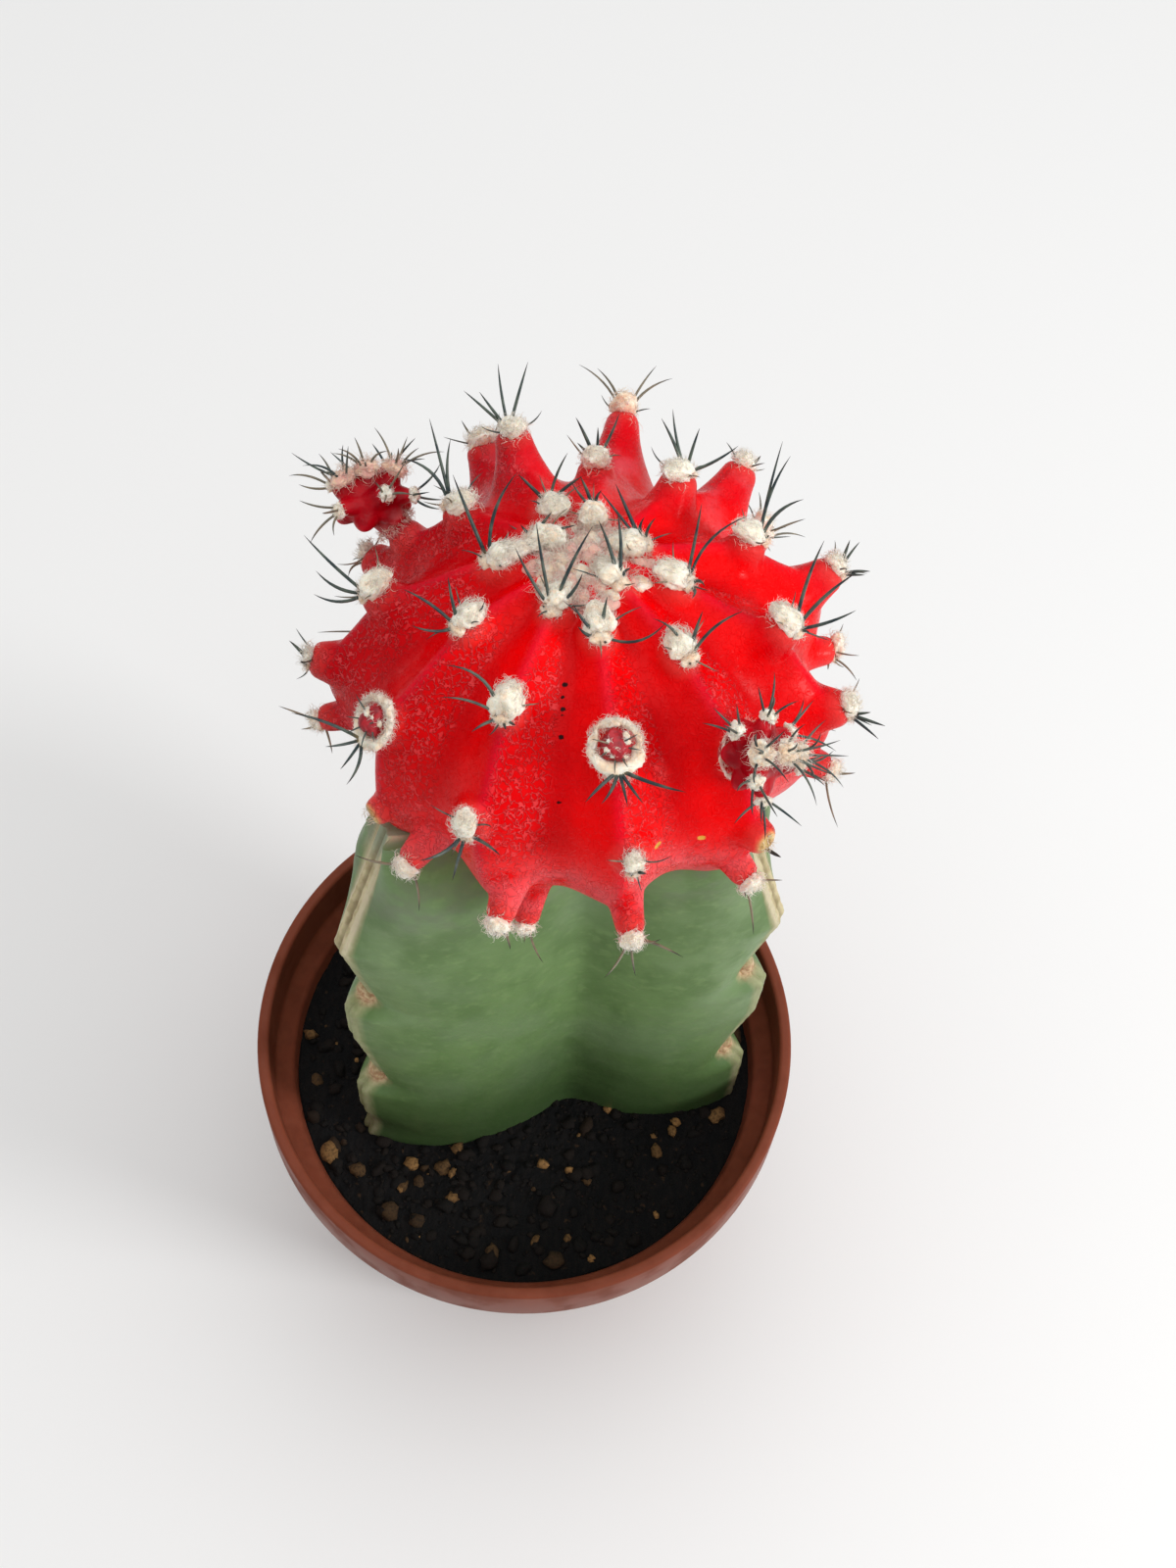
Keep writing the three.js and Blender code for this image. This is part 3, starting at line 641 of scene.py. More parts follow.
def rows_on(out, down):
    """Rows of a frame on the skin: down along it, to one side, and straight out."""
    down = unit(down - out * (down @ out))
    return np.stack([down, np.cross(out, down), out])


areoles = []
for rib, entries in enumerate(RIB_AREOLES):
    for place, (latitude, height, *shift) in enumerate(entries):
        azimuth = FIRST_RIB - RIB_ANGLE * rib + sum(shift)
        foot = skin_point(latitude, azimuth)
        out = way_out(foot)
        widening = float(smooth(latitude, -STUB_LATITUDE, STUB_LATITUDE))
        areoles.append(SimpleNamespace(
            key=(rib, place), kind=AREOLE_KINDS.get((rib, place), "tuft"), latitude=latitude, azimuth=azimuth,
            height=height, foot=foot, tip=foot + out * height, widening=widening,
            rows=rows_on(out, skin_point(latitude - 3, azimuth) - foot),
            neck=STUB_NECK + (TUBERCLE_NECK - STUB_NECK) * widening,
            root=STUB_NECK + 0.75 + 0.42 * (height + 1) * widening,
            swelling=SWELLING * height * (0.25 + 0.75 * widening),
        ))


def rib_place(points):
    """Latitude, share of the way from a rib's crest to the groove, and width of half a rib there."""
    points = np.asarray(points)
    across = np.hypot(points[:, 0], points[:, 1])
    latitude = np.degrees(np.arctan2(points[:, 2] / HEAD_HALF_HEIGHT, across / HEAD_RADIUS))
    in_ribs = (np.degrees(np.arctan2(points[:, 1], points[:, 0])) - FIRST_RIB) / RIB_ANGLE
    from_crest = np.abs(in_ribs - np.round(in_ribs)) * 2
    return latitude, from_crest, HEAD_RADIUS * np.cos(np.radians(latitude)) * math.radians(RIB_ANGLE) / 2


def bar_template(sides, steps):
    """A bar of unit radius and length along Z, with rings along it, as places and triangles."""
    turns = 2 * math.pi * np.arange(sides) / sides
    levels = np.linspace(0, 1, steps + 1)
    rings = [np.stack([np.cos(turns), np.sin(turns), np.full(sides, level)], axis=1) for level in levels]
    bar = piece_from("bar", *tube_of(rings))
    close_ends(bar)
    return template_of(bar)


def stack(parts):
    """Joins lists of places, triangles and marks into one set."""
    places, faces, marks, count = [], [], [], 0
    for some_places, some_faces, some_marks in parts:
        places.append(some_places)
        faces.append(some_faces + count)
        marks.append(some_marks)
        count += len(some_places)
    return np.concatenate(places), np.concatenate(faces), np.concatenate(marks)


def fuse(piece, other, voxel, passes):
    """Joins another object to a piece, and remeshes and smooths both into one skin."""
    choose(piece)
    other.select_set(True)
    bpy.ops.object.join()
    modify(piece, "REMESH", mode="VOXEL", voxel_size=voxel * MM, adaptivity=0)
    modify(piece, "SMOOTH", factor=0.5, iterations=passes)


head = added(bpy.ops.mesh.primitive_uv_sphere_add, segments=len(RIB_AREOLES) * 24, ring_count=120, radius=MM)
head.name = head.data.name = "red_cactus_head"
points = places_of(head) * HEAD_SIZE
latitude, from_crest, half_rib = rib_place(points)
push = -RIB_GROOVE * np.sqrt(np.cos(np.radians(latitude))) * np.sin(math.pi / 2 * from_crest) ** GROOVE_SHAPE
push += CREST_RIDGE * np.exp(-((from_crest * half_rib / 0.7) ** 2)) * np.cos(np.radians(latitude))
for areole in areoles:
    from_foot = np.linalg.norm(points - areole.foot, axis=1)
    push += areole.swelling * np.exp(-((from_foot / SWELLING_WIDTH) ** 2))
push += 0.28 * wobble(points, 8.0, 21.0) + 0.1 * wobble(points, 3.0, 22.0)
move_to(head, points + way_out(points) * push[:, None])
horn_template, horn_faces = bar_template(TUBERCLE_SIDES, TUBERCLE_RINGS)
rise = horn_template[:, 2]
horn_parts = []
for areole in areoles:
    tall = areole.height + ROOT_DEPTH + (UNDER_OFFSET if areole.kind == "offset" else 0)
    flare = areole.neck + (areole.root - areole.neck) * (1 - rise) ** 1.8
    round_top = np.sqrt(np.clip(1 - np.clip(rise * tall - tall + 0.7, 0, None) ** 2, 0.1, 1))
    lumpy = flare * round_top * (1 + 0.05 * wobble(horn_template * 1.6, 1.0, areole.azimuth))
    along_rib = horn_template[:, 0] * lumpy * (1 + 0.3 * (1 - rise) * areole.widening)
    shape = np.stack([along_rib, horn_template[:, 1] * lumpy, rise * tall - ROOT_DEPTH], axis=1)
    horn_parts.append((areole.foot + shape @ areole.rows, horn_faces, rise))
horns = piece_from("tubercles", *stack(horn_parts)[:2])
fuse(head, horns, HEAD_VOXEL, HEAD_SMOOTHING)
move_to(head, to_world(places_of(head)))
trim(head, STEM_UNION)

places = places_of(head)
local = to_head(places)
latitude, from_crest, half_rib = rib_place(local)
crest = np.exp(-((from_crest * half_rib / 0.5) ** 2))
turn_right = np.degrees(np.arctan2(local[:, 1], local[:, 0])) - FIRST_RIB
turn_right = turn_right / RIB_ANGLE - np.round(turn_right / RIB_ANGLE)
flank = smooth(turn_right, -0.03, 0.1) * (1 - smooth(turn_right, 0.36, 0.5)) + 0.25
# About how far each vertex stands out of the smooth body, in millimetres
above_skin = (np.linalg.norm(local / HEAD_SIZE, axis=1) - 1) * 17
tip_near, bare = np.zeros(len(places)), np.zeros(len(places))
for areole in areoles:
    gap = np.linalg.norm(local - areole.tip, axis=1)
    tip_near = np.maximum(tip_near, 1 - smooth(gap, 1.3, 2.6))
    if areole.kind == "bare":
        bare = np.maximum(bare, 1 - smooth(gap, 0.75, 1.35))
crest *= 1 - smooth(above_skin, 0.8, 2.2)
# Where painted shade darkens the grooves between the ribs
valley_shade_mask = smooth(from_crest, 0.5, 1.0) * (1 - smooth(above_skin, 0.2, 1.5))
for name, values in {
    "crest": crest * smooth(latitude, -25, 5),
    "flank": flank * (1 - 0.7 * smooth(latitude, 50, 70)),
    "far": smooth(local[:, 1], 4, 14) * (1 - 0.5 * smooth(latitude, 40, 60)),
    "tip": tip_near,
    "valley": valley_shade_mask * smooth(latitude, -10, 10),
    "bare": bare,
    "low": (1 - smooth(latitude, -20, 4)) * (1 - 0.85 * smooth(above_skin, 0.8, 2.0)),
    "left": smooth(-places[:, 0] + 0.5 * places[:, 1], 4, 20),
    "horn": smooth(above_skin, 0.6, 3.0),
}.items():
    mark(head, name, values)
onto_ball = unit(local / HEAD_SIZE)
for name, spots in (("speck", SPECKS), ("scar", SCARS)):
    near = np.zeros(len(places))
    for azimuth, at, radius in spots:
        spot = skin_point(at, azimuth) / HEAD_SIZE
        near = np.maximum(near, 1 - np.linalg.norm(onto_ball - spot, axis=1) * 18 / (2 * radius))
    mark(head, name, near)

flesh = new_material("red_cactus_skin", roughness=0.3, specular_ior_level=0.08,
                     subsurface_weight=0.1, subsurface_radius=(1.0, 0.04, 0.03), subsurface_scale=1.4 * MM)
tone = between(grain(7.0, 4.0), 0.36, 0.64)
fine_tone = between(grain(1.3, 4.0), 0.38, 0.68)
red = mixed(tone, rgb(246, 0, 3), rgb(222, 0, 5))
red = tinted(red, fine_tone, 0.2, rgb(252, 12, 18))
# Painted shade: the grooves between the ribs are darker red.
red = tinted(red, read("valley"), 0.55, rgb(188, 0, 6))
# Painted shade: darker crimson towards the left and back, away from the window light, partly the skin's own
# darker tone there.
red = tinted(red, read("left"), 0.75, rgb(178, 0, 14))
# Pale pink waxy skin low down by the stem, made brighter still as a painted highlight.
pale_low_and_highlight = times(read("low"), between(grain(2.6, 4.0), 0.3, 0.62))
red = tinted(red, pale_low_and_highlight, 0.75, rgb(248, 96, 102))
red = tinted(red, read("crest"), 0.22, rgb(222, 30, 74))
red = tinted(red, read("horn"), 0.3, rgb(205, 12, 38))
film = times(read("far"), between(grain(3.2, 5.0, (1, 1, 0.5)), 0.42, 0.7))
red = tinted(red, film, 0.5, rgb(226, 88, 98))
red = tinted(red, read("tip"), 0.35, rgb(232, 92, 84))
winding = between(grain(0.55, 1.0, (1, 1, 0.7), 0.9), 0.0, 1.0, -0.5, 0.5)
crease = between(times(winding, winding), 0.009, 0.0)
patchy = between(grain(4.5, 2.0), 0.3, 0.6, 0.25, 1.0)
# The fine wrinkles on the flanks that face the window and low down: their bumps, and painted highlights along
# them
grain_and_glint_zone = between(plus(read("flank"), read("low")), 0.2, 0.9)
painted_glints = times(crease, times(grain_and_glint_zone, patchy))
# Painted highlight: pale pink glints along the wrinkles.
red = tinted(red, painted_glints, 0.28, rgb(255, 116, 120))
tip_colour = mixed(between(grain(0.6, 4.0), 0.4, 0.6), rgb(226, 196, 132), rgb(190, 150, 96))
red = mixed(read("bare"), red, tip_colour)
red = mixed(between(read("scar"), 0.4, 0.6), red, rgb(232, 176, 70))
red = mixed(between(read("speck"), 0.4, 0.6), red, rgb(38, 6, 8))
wrinkle = times(crease, plus(times(grain_and_glint_zone, 0.8), 0.15))
paint(red, (grain(3.0, 4.0), 0.3, 0.25), (wrinkle, 1.0, 0.16), (grain(0.3, 3.0), 0.25, 0.04),
      roughness=plus(between(fine_tone, 0, 1, 0.24, 0.34), times(pale_low_and_highlight, 0.12)))
dress(head, flesh, "scion", "scion")

# Wool of the head
# Each areole carries a cap of fine cream wool on its upper side, peach where it meets the skin.
# It is a felted core with loose hairs matted over it. The crown is filled with pinkish felt, and
# two areoles in front have their wool in a ring round a young red bud.
HAIR_RADIUS = 0.028
LOOSE_HAIRS = 0.03
TUFT_SIZE = np.array((1.8, 1.4, 1.1))
TUFT_TOWARDS_CROWN = 0.75
TUFT_HAIRS = 260
SMALL_TUFTS = {(0, 2): 0.7, (1, 2): 0.85, (2, 3): 0.8, (3, 2): 0.55, (3, 3): 0.65, (4, 3): 0.6, (7, 1): 0.8,
               (8, 2): 0.85, (8, 3): 0.75, (9, 2): 0.75, (9, 3): 0.75, (10, 4): 0.8}
# The longest horn has wool down its sides as well, and one tuft by the crown is combed to the right
WOOLLY_HORN = (6, 2)
COMBED_TUFT = (3, 0)
# Above the first latitude hairs belong to upper_hairs. Areoles below the second are on the underside.
UPPER_LATITUDE = 26
LOW_LATITUDE = -8
RING_RADIUS = 1.9
RING_THICKNESS = 0.3
TO_CROWN = np.array((-0.75, 0, 0.3))
CROWN_WOOL = np.array((5.0, 5.0, 1.0))
CROWN_LUMPS = 80
# Right, up and towards the viewer in the photo's view
SEEN_RIGHT = np.array((0.997, 0.074, 0.037))
SEEN_UP = np.array((-0.083, 0.890, 0.447))
SEEN_TOWARDS = np.cross(SEEN_RIGHT, SEEN_UP)


def bent_bars(template, roots, directions, asides, lengths, radii, curls, taper, wave=0.0):
    """Copies of a bar, each bent to one side and tapered to a point, and how far along each vertex is."""
    bar, faces = template
    directions, asides = unit(directions), np.asarray(asides)
    asides = unit(asides - directions * (asides * directions).sum(1)[:, None])
    thirds = np.cross(directions, asides)
    along = bar[None, :, 2]
    thick = radii[:, None] * (1 - along ** taper * 0.94)
    bend = curls[:, None] * lengths[:, None] * (along ** 2 - along)
    sway = wave * lengths[:, None] * np.sin(along * 7 + roots[:, :1] * 9) * along
    shape = (roots[:, None] + directions[:, None] * (along * lengths[:, None])[..., None]
             + asides[:, None] * (bar[None, :, 0] * thick + bend)[..., None]
             + thirds[:, None] * (bar[None, :, 1] * thick + sway)[..., None])
    faces = copies_of(faces, len(roots), len(bar))
    return shape.reshape(-1, 3), faces, np.repeat(along, len(roots), axis=0).ravel()


def puff(template, centre, rows, size, tint, seed, rough=0.16):
    """A felted lump, stretched along its own three axes and slimmer towards the crown."""
    ball, faces = template
    lumps = 1 + rough * wobble(ball, 0.7, seed) + 0.6 * rough * wobble(ball, 0.24, seed + 3)
    slim = 1 + 0.28 * np.clip(ball[:, :1], -1, 0.3) * (0, 1, 1)
    foot = smooth(-ball[:, 2] + 0.5 * ball[:, 0], 0.1, 1.0)
    return centre + (ball * slim * lumps[:, None] * size) @ rows, faces, np.maximum(tint, foot * 0.75)


def hairs(draw, centre, rows, size, count, length, tint, lean=(0, 0, 0)):
    """Fine curly hairs that lie matted on a felted lump and stand out of it, leaning one way."""
    ways = unit(draw.standard_normal((count, 3)) + (0, 0, 0.35))
    roots = centre + (ways * size * 0.88) @ rows
    flat = draw.standard_normal((count, 3))
    flat = unit(flat - ways * (flat * ways).sum(1)[:, None])
    loose = np.where(draw.random(count) < LOOSE_HAIRS, 0.9, 0.06)[:, None]
    combed = np.array(lean) - ways * (ways @ np.array(lean, float))[:, None]
    directions = unit(flat * 0.5 + ways * loose + combed) @ rows
    lengths = length * draw.uniform(0.5, 1.35, count)
    thick = HAIR_RADIUS * draw.uniform(0.7, 1.15, count)
    places, faces, along = bent_bars(hair_template, roots, directions, draw.standard_normal((count, 3)),
                                     lengths, thick, draw.uniform(-1.6, 1.6, count), 2.0, 0.13)
    return places, faces, tint * (1 - 0.4 * along)


def ring_hairs(draw, centre, rows, radius, spots, size, count, length, tint, lean):
    """Hairs at spots all round a ring, leaning outwards."""
    for turn in np.linspace(0, 2 * math.pi, spots):
        way = np.array((math.cos(turn), math.sin(turn), 0.1))
        spot = centre + (way * radius) @ rows
        yield hairs(draw, spot, rows, np.full(3, size), count, length, tint, way * lean)


def grown(name, parts, look, slot, *measures):
    """A finished piece of many parts in the head's frame, and the names of the measures on them."""
    places, faces, marks = stack(parts)
    piece = piece_from(name, to_world(places), faces)
    for measure, values in zip(measures, marks.reshape(len(marks), -1).T):
        mark(piece, measure, values)
    dress(piece, look, slot)


cap_template, lump_template, speck_template = ball_template(4), ball_template(3), ball_template(2)
hair_template = bar_template(3, 3)
ring = added(bpy.ops.mesh.primitive_torus_add, major_segments=64, minor_segments=14,
             major_radius=RING_RADIUS * MM, minor_radius=RING_THICKNESS * MM)
ring, ring_faces = template_of(ring)
ring_turn = np.arctan2(ring[:, 1], ring[:, 0])[:, None]
ring_line = np.hstack([np.cos(ring_turn), np.sin(ring_turn), ring_turn * 0]) * RING_RADIUS
towards_viewer = HEAD_FRAME @ SEEN_TOWARDS
draw = np.random.default_rng(5)
wool_parts, bud_parts = [], []
hair_parts = {"crown_hairs": [], "upper_hairs": [], "lower_hairs": []}
for number, areole in enumerate(areoles):
    if areole.kind == "offset":
        continue
    tip, rows = areole.tip, areole.rows
    tint = float(draw.uniform(0.0, 0.15)) + 0.1 * (areole.latitude > 72)
    fluff = hair_parts["upper_hairs" if areole.latitude > UPPER_LATITUDE else "lower_hairs"]
    if areole.kind == "bare":
        fluff.append(hairs(draw, tip, rows, TUFT_SIZE * 0.5, 40, 0.7, 0.3))
        continue
    if areole.kind == "ring":
        lumps = wobble(ring, 0.9, number)[:, None] * (0.28, 0.28, 0.2)
        lumps = lumps + wobble(ring, 0.3, number + 2)[:, None] * 0.12
        heavy = (ring - ring_line) * np.clip(np.cos(ring_turn), 0, 1)
        collar = tip + (ring + lumps + heavy + (0, 0, 0.2)) @ rows
        wool_parts.append((collar, ring_faces, np.full(len(ring), 0.2)))
        fluff.extend(ring_hairs(draw, tip, rows, RING_RADIUS, 40, 0.42, 30, 0.6, 0.2, 0.2))
        bud = tip + rows[2] * 0.4
        bud_parts.append(puff(cap_template, bud, rows, np.array((1.3, 1.25, 0.9)), 0.0, number))
        for _ in range(8):
            way = unit(draw.standard_normal(3) * (1, 1, 0.3) + (0, 0, 0.8))
            spot = bud + (way * (1.2, 1.2, 0.85)) @ rows
            size = np.array((0.26, 0.26, 0.16)) * draw.uniform(0.5, 1.3)
            wool_parts.append(puff(speck_template, spot, rows, size, 0.3, number + 40, 0.3))
            fluff.append(hairs(draw, spot, rows, size, 16, 0.5, 0.2))
        low_side = tip + rows[0] * 2.0
        fluff.append(hairs(draw, low_side, rows, np.array((0.7, 1.3, 0.5)), 130, 1.0, 0.1, (0.5, 0, 0)))
        continue
    small = SMALL_TUFTS.get(areole.key, 1.0 if areole.latitude > LOW_LATITUDE else 0.85)
    size = TUFT_SIZE * small * draw.uniform(0.88, 1.08, 3)
    tint = tint + 0.3 * (areole.key == WOOLLY_HORN)
    if areole.latitude < LOW_LATITUDE:
        centre, flow = tip + rows[2] * 0.25, np.array((0.2, 0, 0.3))
    else:
        centre, flow = tip - rows[0] * TUFT_TOWARDS_CROWN * small + rows[2] * 0.25, TO_CROWN
    if areole.key == WOOLLY_HORN:
        size, centre = size * 1.1, centre + rows[2] * 0.4
        for drop in (1.0, 2.2, 3.6):
            sleeve = np.array((1.5, 1.5, 0.9))
            fluff.append(hairs(draw, tip - rows[2] * drop, rows, sleeve, 90, 1.3, 0.9, (0, 0, -1)))
    wool_parts.append(puff(cap_template, centre, rows, size * 0.86, tint, number, 0.3))
    straw = tip + rows[0] * 0.7 + rows[2] * 0.05
    straw_size = np.array((0.65, 0.9, 0.5)) * small
    wool_parts.append(puff(lump_template, straw, rows, straw_size, 0.42, number + 5, 0.3))
    fluff.append(hairs(draw, straw, rows, np.array((0.75, 1.0, 0.6)) * small, 110, 0.7, 0.4, (0.3, 0, 0)))
    count = int(TUFT_HAIRS * small * (1 if rows[2] @ towards_viewer > -0.2 else 0.6))
    fluff.append(hairs(draw, centre, rows, size, count, 0.85, tint, flow))
    skirt = centre - rows[2] * 0.6
    fluff.append(hairs(draw, skirt, rows, size * (1.05, 1.05, 0.6), 24, 0.7, 0.6, (0.3, 0, -0.6)))
    if areole.key == COMBED_TUFT:
        flow = HEAD_FRAME @ unit(SEEN_RIGHT + 0.35 * SEEN_UP)
        for step in range(1, 4):
            spot, shrunk = centre + flow * step * 0.8, size * (0.85 - 0.15 * step)
            wool_parts.append(puff(cap_template, spot, rows, shrunk, 0.1, number + 70 + step))
            fluff.append(hairs(draw, spot, rows, shrunk, 90, 1.3, 0.1, rows @ flow))
upright = np.eye(3)
crown_foot = np.array((0, 0, HEAD_HALF_HEIGHT - 0.6))
wool_parts.append(puff(cap_template, crown_foot, upright, CROWN_WOOL, 1.2, 3.0, 0.22))
for _ in range(CROWN_LUMPS):
    spread = 4.7 * math.sqrt(draw.random())
    turn = draw.uniform(0, 2 * math.pi)
    height = HEAD_HALF_HEIGHT + 0.5 - 0.04 * spread ** 2
    spot = np.array((spread * math.cos(turn), spread * math.sin(turn), height))
    size = np.array((1.3, 1.2, 0.6)) * draw.uniform(0.5, 1.1)
    tint = float(draw.choice((0.3, 0.95, 1.2)))
    wool_parts.append(puff(lump_template, spot, upright, size * 0.95, tint, spread, 0.4))
    tint = float(draw.choice((0.0, 0.4, 1.2)))
    lean = draw.uniform(-0.6, 0.6, 3)
    hair_parts["crown_hairs"].append(hairs(draw, spot, upright, size, 60, 1.5, tint, lean))

felt = new_material("cream_wool", roughness=0.95, specular_ior_level=0.2,
                    sheen_weight=0.5, sheen_roughness=0.5,
                    subsurface_weight=0.5, subsurface_radius=(1.0, 0.8, 0.65), subsurface_scale=0.6 * MM)
tint = plus(read("tint"), between(grain(0.8, 4.0), 0.35, 0.65, -0.15, 0.2))
wool_colour = mixed(between(tint, 0.1, 0.5), rgb(255, 245, 227), rgb(251, 219, 188))
wool_colour = mixed(between(tint, 0.5, 1.0), wool_colour, rgb(242, 184, 170))
wool_colour = mixed(between(grain(0.5, 3.0), 0.64, 0.8, 0.0, 0.4), wool_colour, rgb(190, 156, 110))
old_bits = times(between(tint, 1.05, 1.15), between(grain(0.9, 3.0), 0.58, 0.64))
wool_colour = tinted(wool_colour, old_bits, 0.75, rgb(122, 74, 56))
paint(wool_colour, (grain(0.16, 4.0), 0.7, 0.1))
grown("areole_wool", wool_parts, felt, "scion", "tint")
for name, parts in hair_parts.items():
    grown(name, parts, felt, "scion", "tint")

bud_look = new_material("young_bud", roughness=0.36, specular_ior_level=0.5)
bud_colour = mixed(between(grain(0.6, 3.0), 0.35, 0.65), rgb(186, 16, 34), rgb(140, 8, 26))
paint(bud_colour, (cells(0.45), 0.6, 0.12))
grown("red_buds", bud_parts, bud_look, "scion")

# Spines of the head
# A few horny spines stand out of each tuft, slim, curved and pointed: dark grey-green with black
# tips in front and at the crown, bleached towards the sides and tan low down. The ones that show
# are placed one by one, and those of the hidden areoles follow a rule.
SPINE_RADIUS = 0.15
FINE_SPINE_RADIUS = 0.08
# For each areole, its spines as seen from the front and above: the direction in degrees from
# straight up, clockwise, the length that shows in millimetres, and the bend, clockwise
SEEN_SPINES = {
    (0, 0): ((-47, 2.8, 0.1), (-83, 1.7, 0.2), (84, 5.4, -0.3), (14, 2.6, 0), (150, 1.2, 0)),
    (0, 1): ((-152, 5, 0), (-166, 4.7, 0.1), (169, 4.8, 0), (155, 5, 0), (124, 6.5, -0.1)),
    (0, 2): ((-165, 0.9, 0), (125, 1.2, 0)),
    (0, 3): ((-146, 3.3, 0.1), (175, 2.6, 0), (112, 3.6, 0), (95, 1.9, -0.2), (30, 1, 0.3)),
    (1, 0): ((-36, 5.3, 0.1), (-13, 6.3, 0.05), (27, 6.6, 0.1), (44, 3.2, -0.1), (-100, 1, 0)),
    (1, 1): ((-55, 5.7, -0.3), (-81, 5, -0.15), (-123, 1, -0.1), (-126, 3.2, -0.1), (177, 1.7, 0),
             (148, 1.6, 0)),
    (1, 2): ((-126, 4.4, 0.1), (-167, 4.3, 0), (128, 3.6, 0.1)),
    (1, 3): ((155, 2, 0.1), (-170, 1, 0)),
    (1, 4): ((180, 1.4, 0), (155, 3.1, -0.15)),
    (2, 0): ((-63, 5.2, -0.1), (-96, 4.1, 0.1), (47, 2.3, -0.15), (-19, 3.7, 0)),
    (2, 1): ((-85, 6.6, -0.05), (-118, 4.5, 0), (-145, 4.8, 0), (-157, 5.6, 0.1)),
    (2, 3): ((-80, 3.5, 0.15), (165, 3.3, 0.15)),
    (3, 0): ((-27, 7.2, 0), (16, 6.9, 0.12)),
    (3, 1): ((-51, 6.9, 0), (-72, 4.6, 0.2), (-96, 4.6, 0.2)),
    (3, 2): ((-51, 2.3, 0), (-107, 0.9, 0)),
    (3, 3): ((-73, 3, 0), (160, 2.6, 0.1), (-120, 1.5, 0)),
    (4, 0): ((27, 2.2, 0), (75, 3.1, 0), (-60, 1.8, 0)),
    (4, 1): ((-51, 5.8, -0.25), (-17, 7.2, 0.05), (-4, 5.3, 0.05)),
    (4, 3): ((-140, 2.6, -0.4), (-40, 1.2, 0)),
    (5, 0): ((-49, 3.6, 0), (19, 4.3, 0.05), (50, 3.4, 0.1)),
    (5, 1): ((-11, 5.4, 0), (15, 5.7, 0.05), (-52, 5, 0), (-41, 4, 0)),
    (5, 2): ((-41, 2.6, 0.1), (5, 1.4, 0)),
    (6, 0): ((-20, 3.2, 0), (-36, 3, 0), (20, 2, 0.2)),
    (6, 1): ((-26, 4, 0), (-48, 2.2, 0), (3, 2.8, 0), (27, 4.4, 0)),
    (6, 2): ((-42, 6.1, -0.2), (-30, 4.8, -0.1), (34, 5.3, 0.1), (54, 5.5, 0.2)),
    (7, 0): ((-22, 4.7, 0), (-9, 5.2, 0), (22, 3.8, 0), (66, 5.1, -0.1)),
    (7, 1): ((20, 0.8, 0), (60, 1.6, 0)),
    (8, 0): ((-20, 5, 0), (-36, 5.1, 0.05), (37, 2.6, 0.1), (17, 2.2, 0.3)),
    (8, 1): ((16, 7.8, 0), (24, 6.9, 0.05), (54, 4.9, 0.15), (90, 1.2, 0)),
    (8, 2): ((25, 2.7, 0), (41, 3, 0), (95, 2.9, 0.1), (103, 2.5, 0)),
    (8, 3): ((143, 3.5, 0.1), (-166, 1.9, 0)),
    (9, 0): ((16, 6.1, 0), (48, 7.3, 0.25), (109, 2.1, 0.4), (150, 1.9, 0.4)),
    (9, 1): ((21, 7, 0), (52, 6.5, 0.1), (79, 5.2, -0.1), (114, 1.6, 0.1)),
    (9, 2): ((102, 1.9, 0), (117, 3.4, 0.05), (137, 3.6, 0)),
    (9, 3): ((100, 1.8, 0), (172, 4.1, -0.1)),
    (10, 0): ((2, 5.4, -0.05), (-16, 4.7, 0), (60, 1.6, 0.3)),
    (10, 1): ((-46, 3.6, -0.3), (24, 3.4, 0.1), (56, 5.5, 0.12), (158, 1.1, 0)),
    (10, 3): ((137, 1.5, 0),),
    (10, 4): ((90, 2.2, 0), (176, 3.7, 0.05), (-165, 1.2, 0)),
}


def spine_fan(draw, root, rows, count, spread, tilt, lengths):
    """Roots, directions, sides and lengths of a fan of spines round the lower side of an areole."""
    turns = np.linspace(-118, 118, count) + draw.uniform(-14, 14, count)
    turns, tilts = np.radians(turns), np.radians(draw.uniform(*tilt, count))
    outward = np.stack([np.cos(turns), np.sin(turns), np.zeros(count)], axis=1)
    ways = outward * np.sin(tilts)[:, None] + np.array((0, 0, 1)) * np.cos(tilts)[:, None]
    return root + (outward * spread) @ rows, ways @ rows, outward @ rows, draw.uniform(*lengths, count)


def spines_of(fan, radii, curls, bleached):
    """The spines of a fan, marked with how far along them each vertex is and how bleached they are."""
    places, faces, along = bent_bars(spine_template, *fan, radii, curls, 3.2)
    bleached = np.broadcast_to(bleached, len(radii)).repeat(len(along) // len(radii))
    return places, faces, np.stack([along, bleached], axis=1)


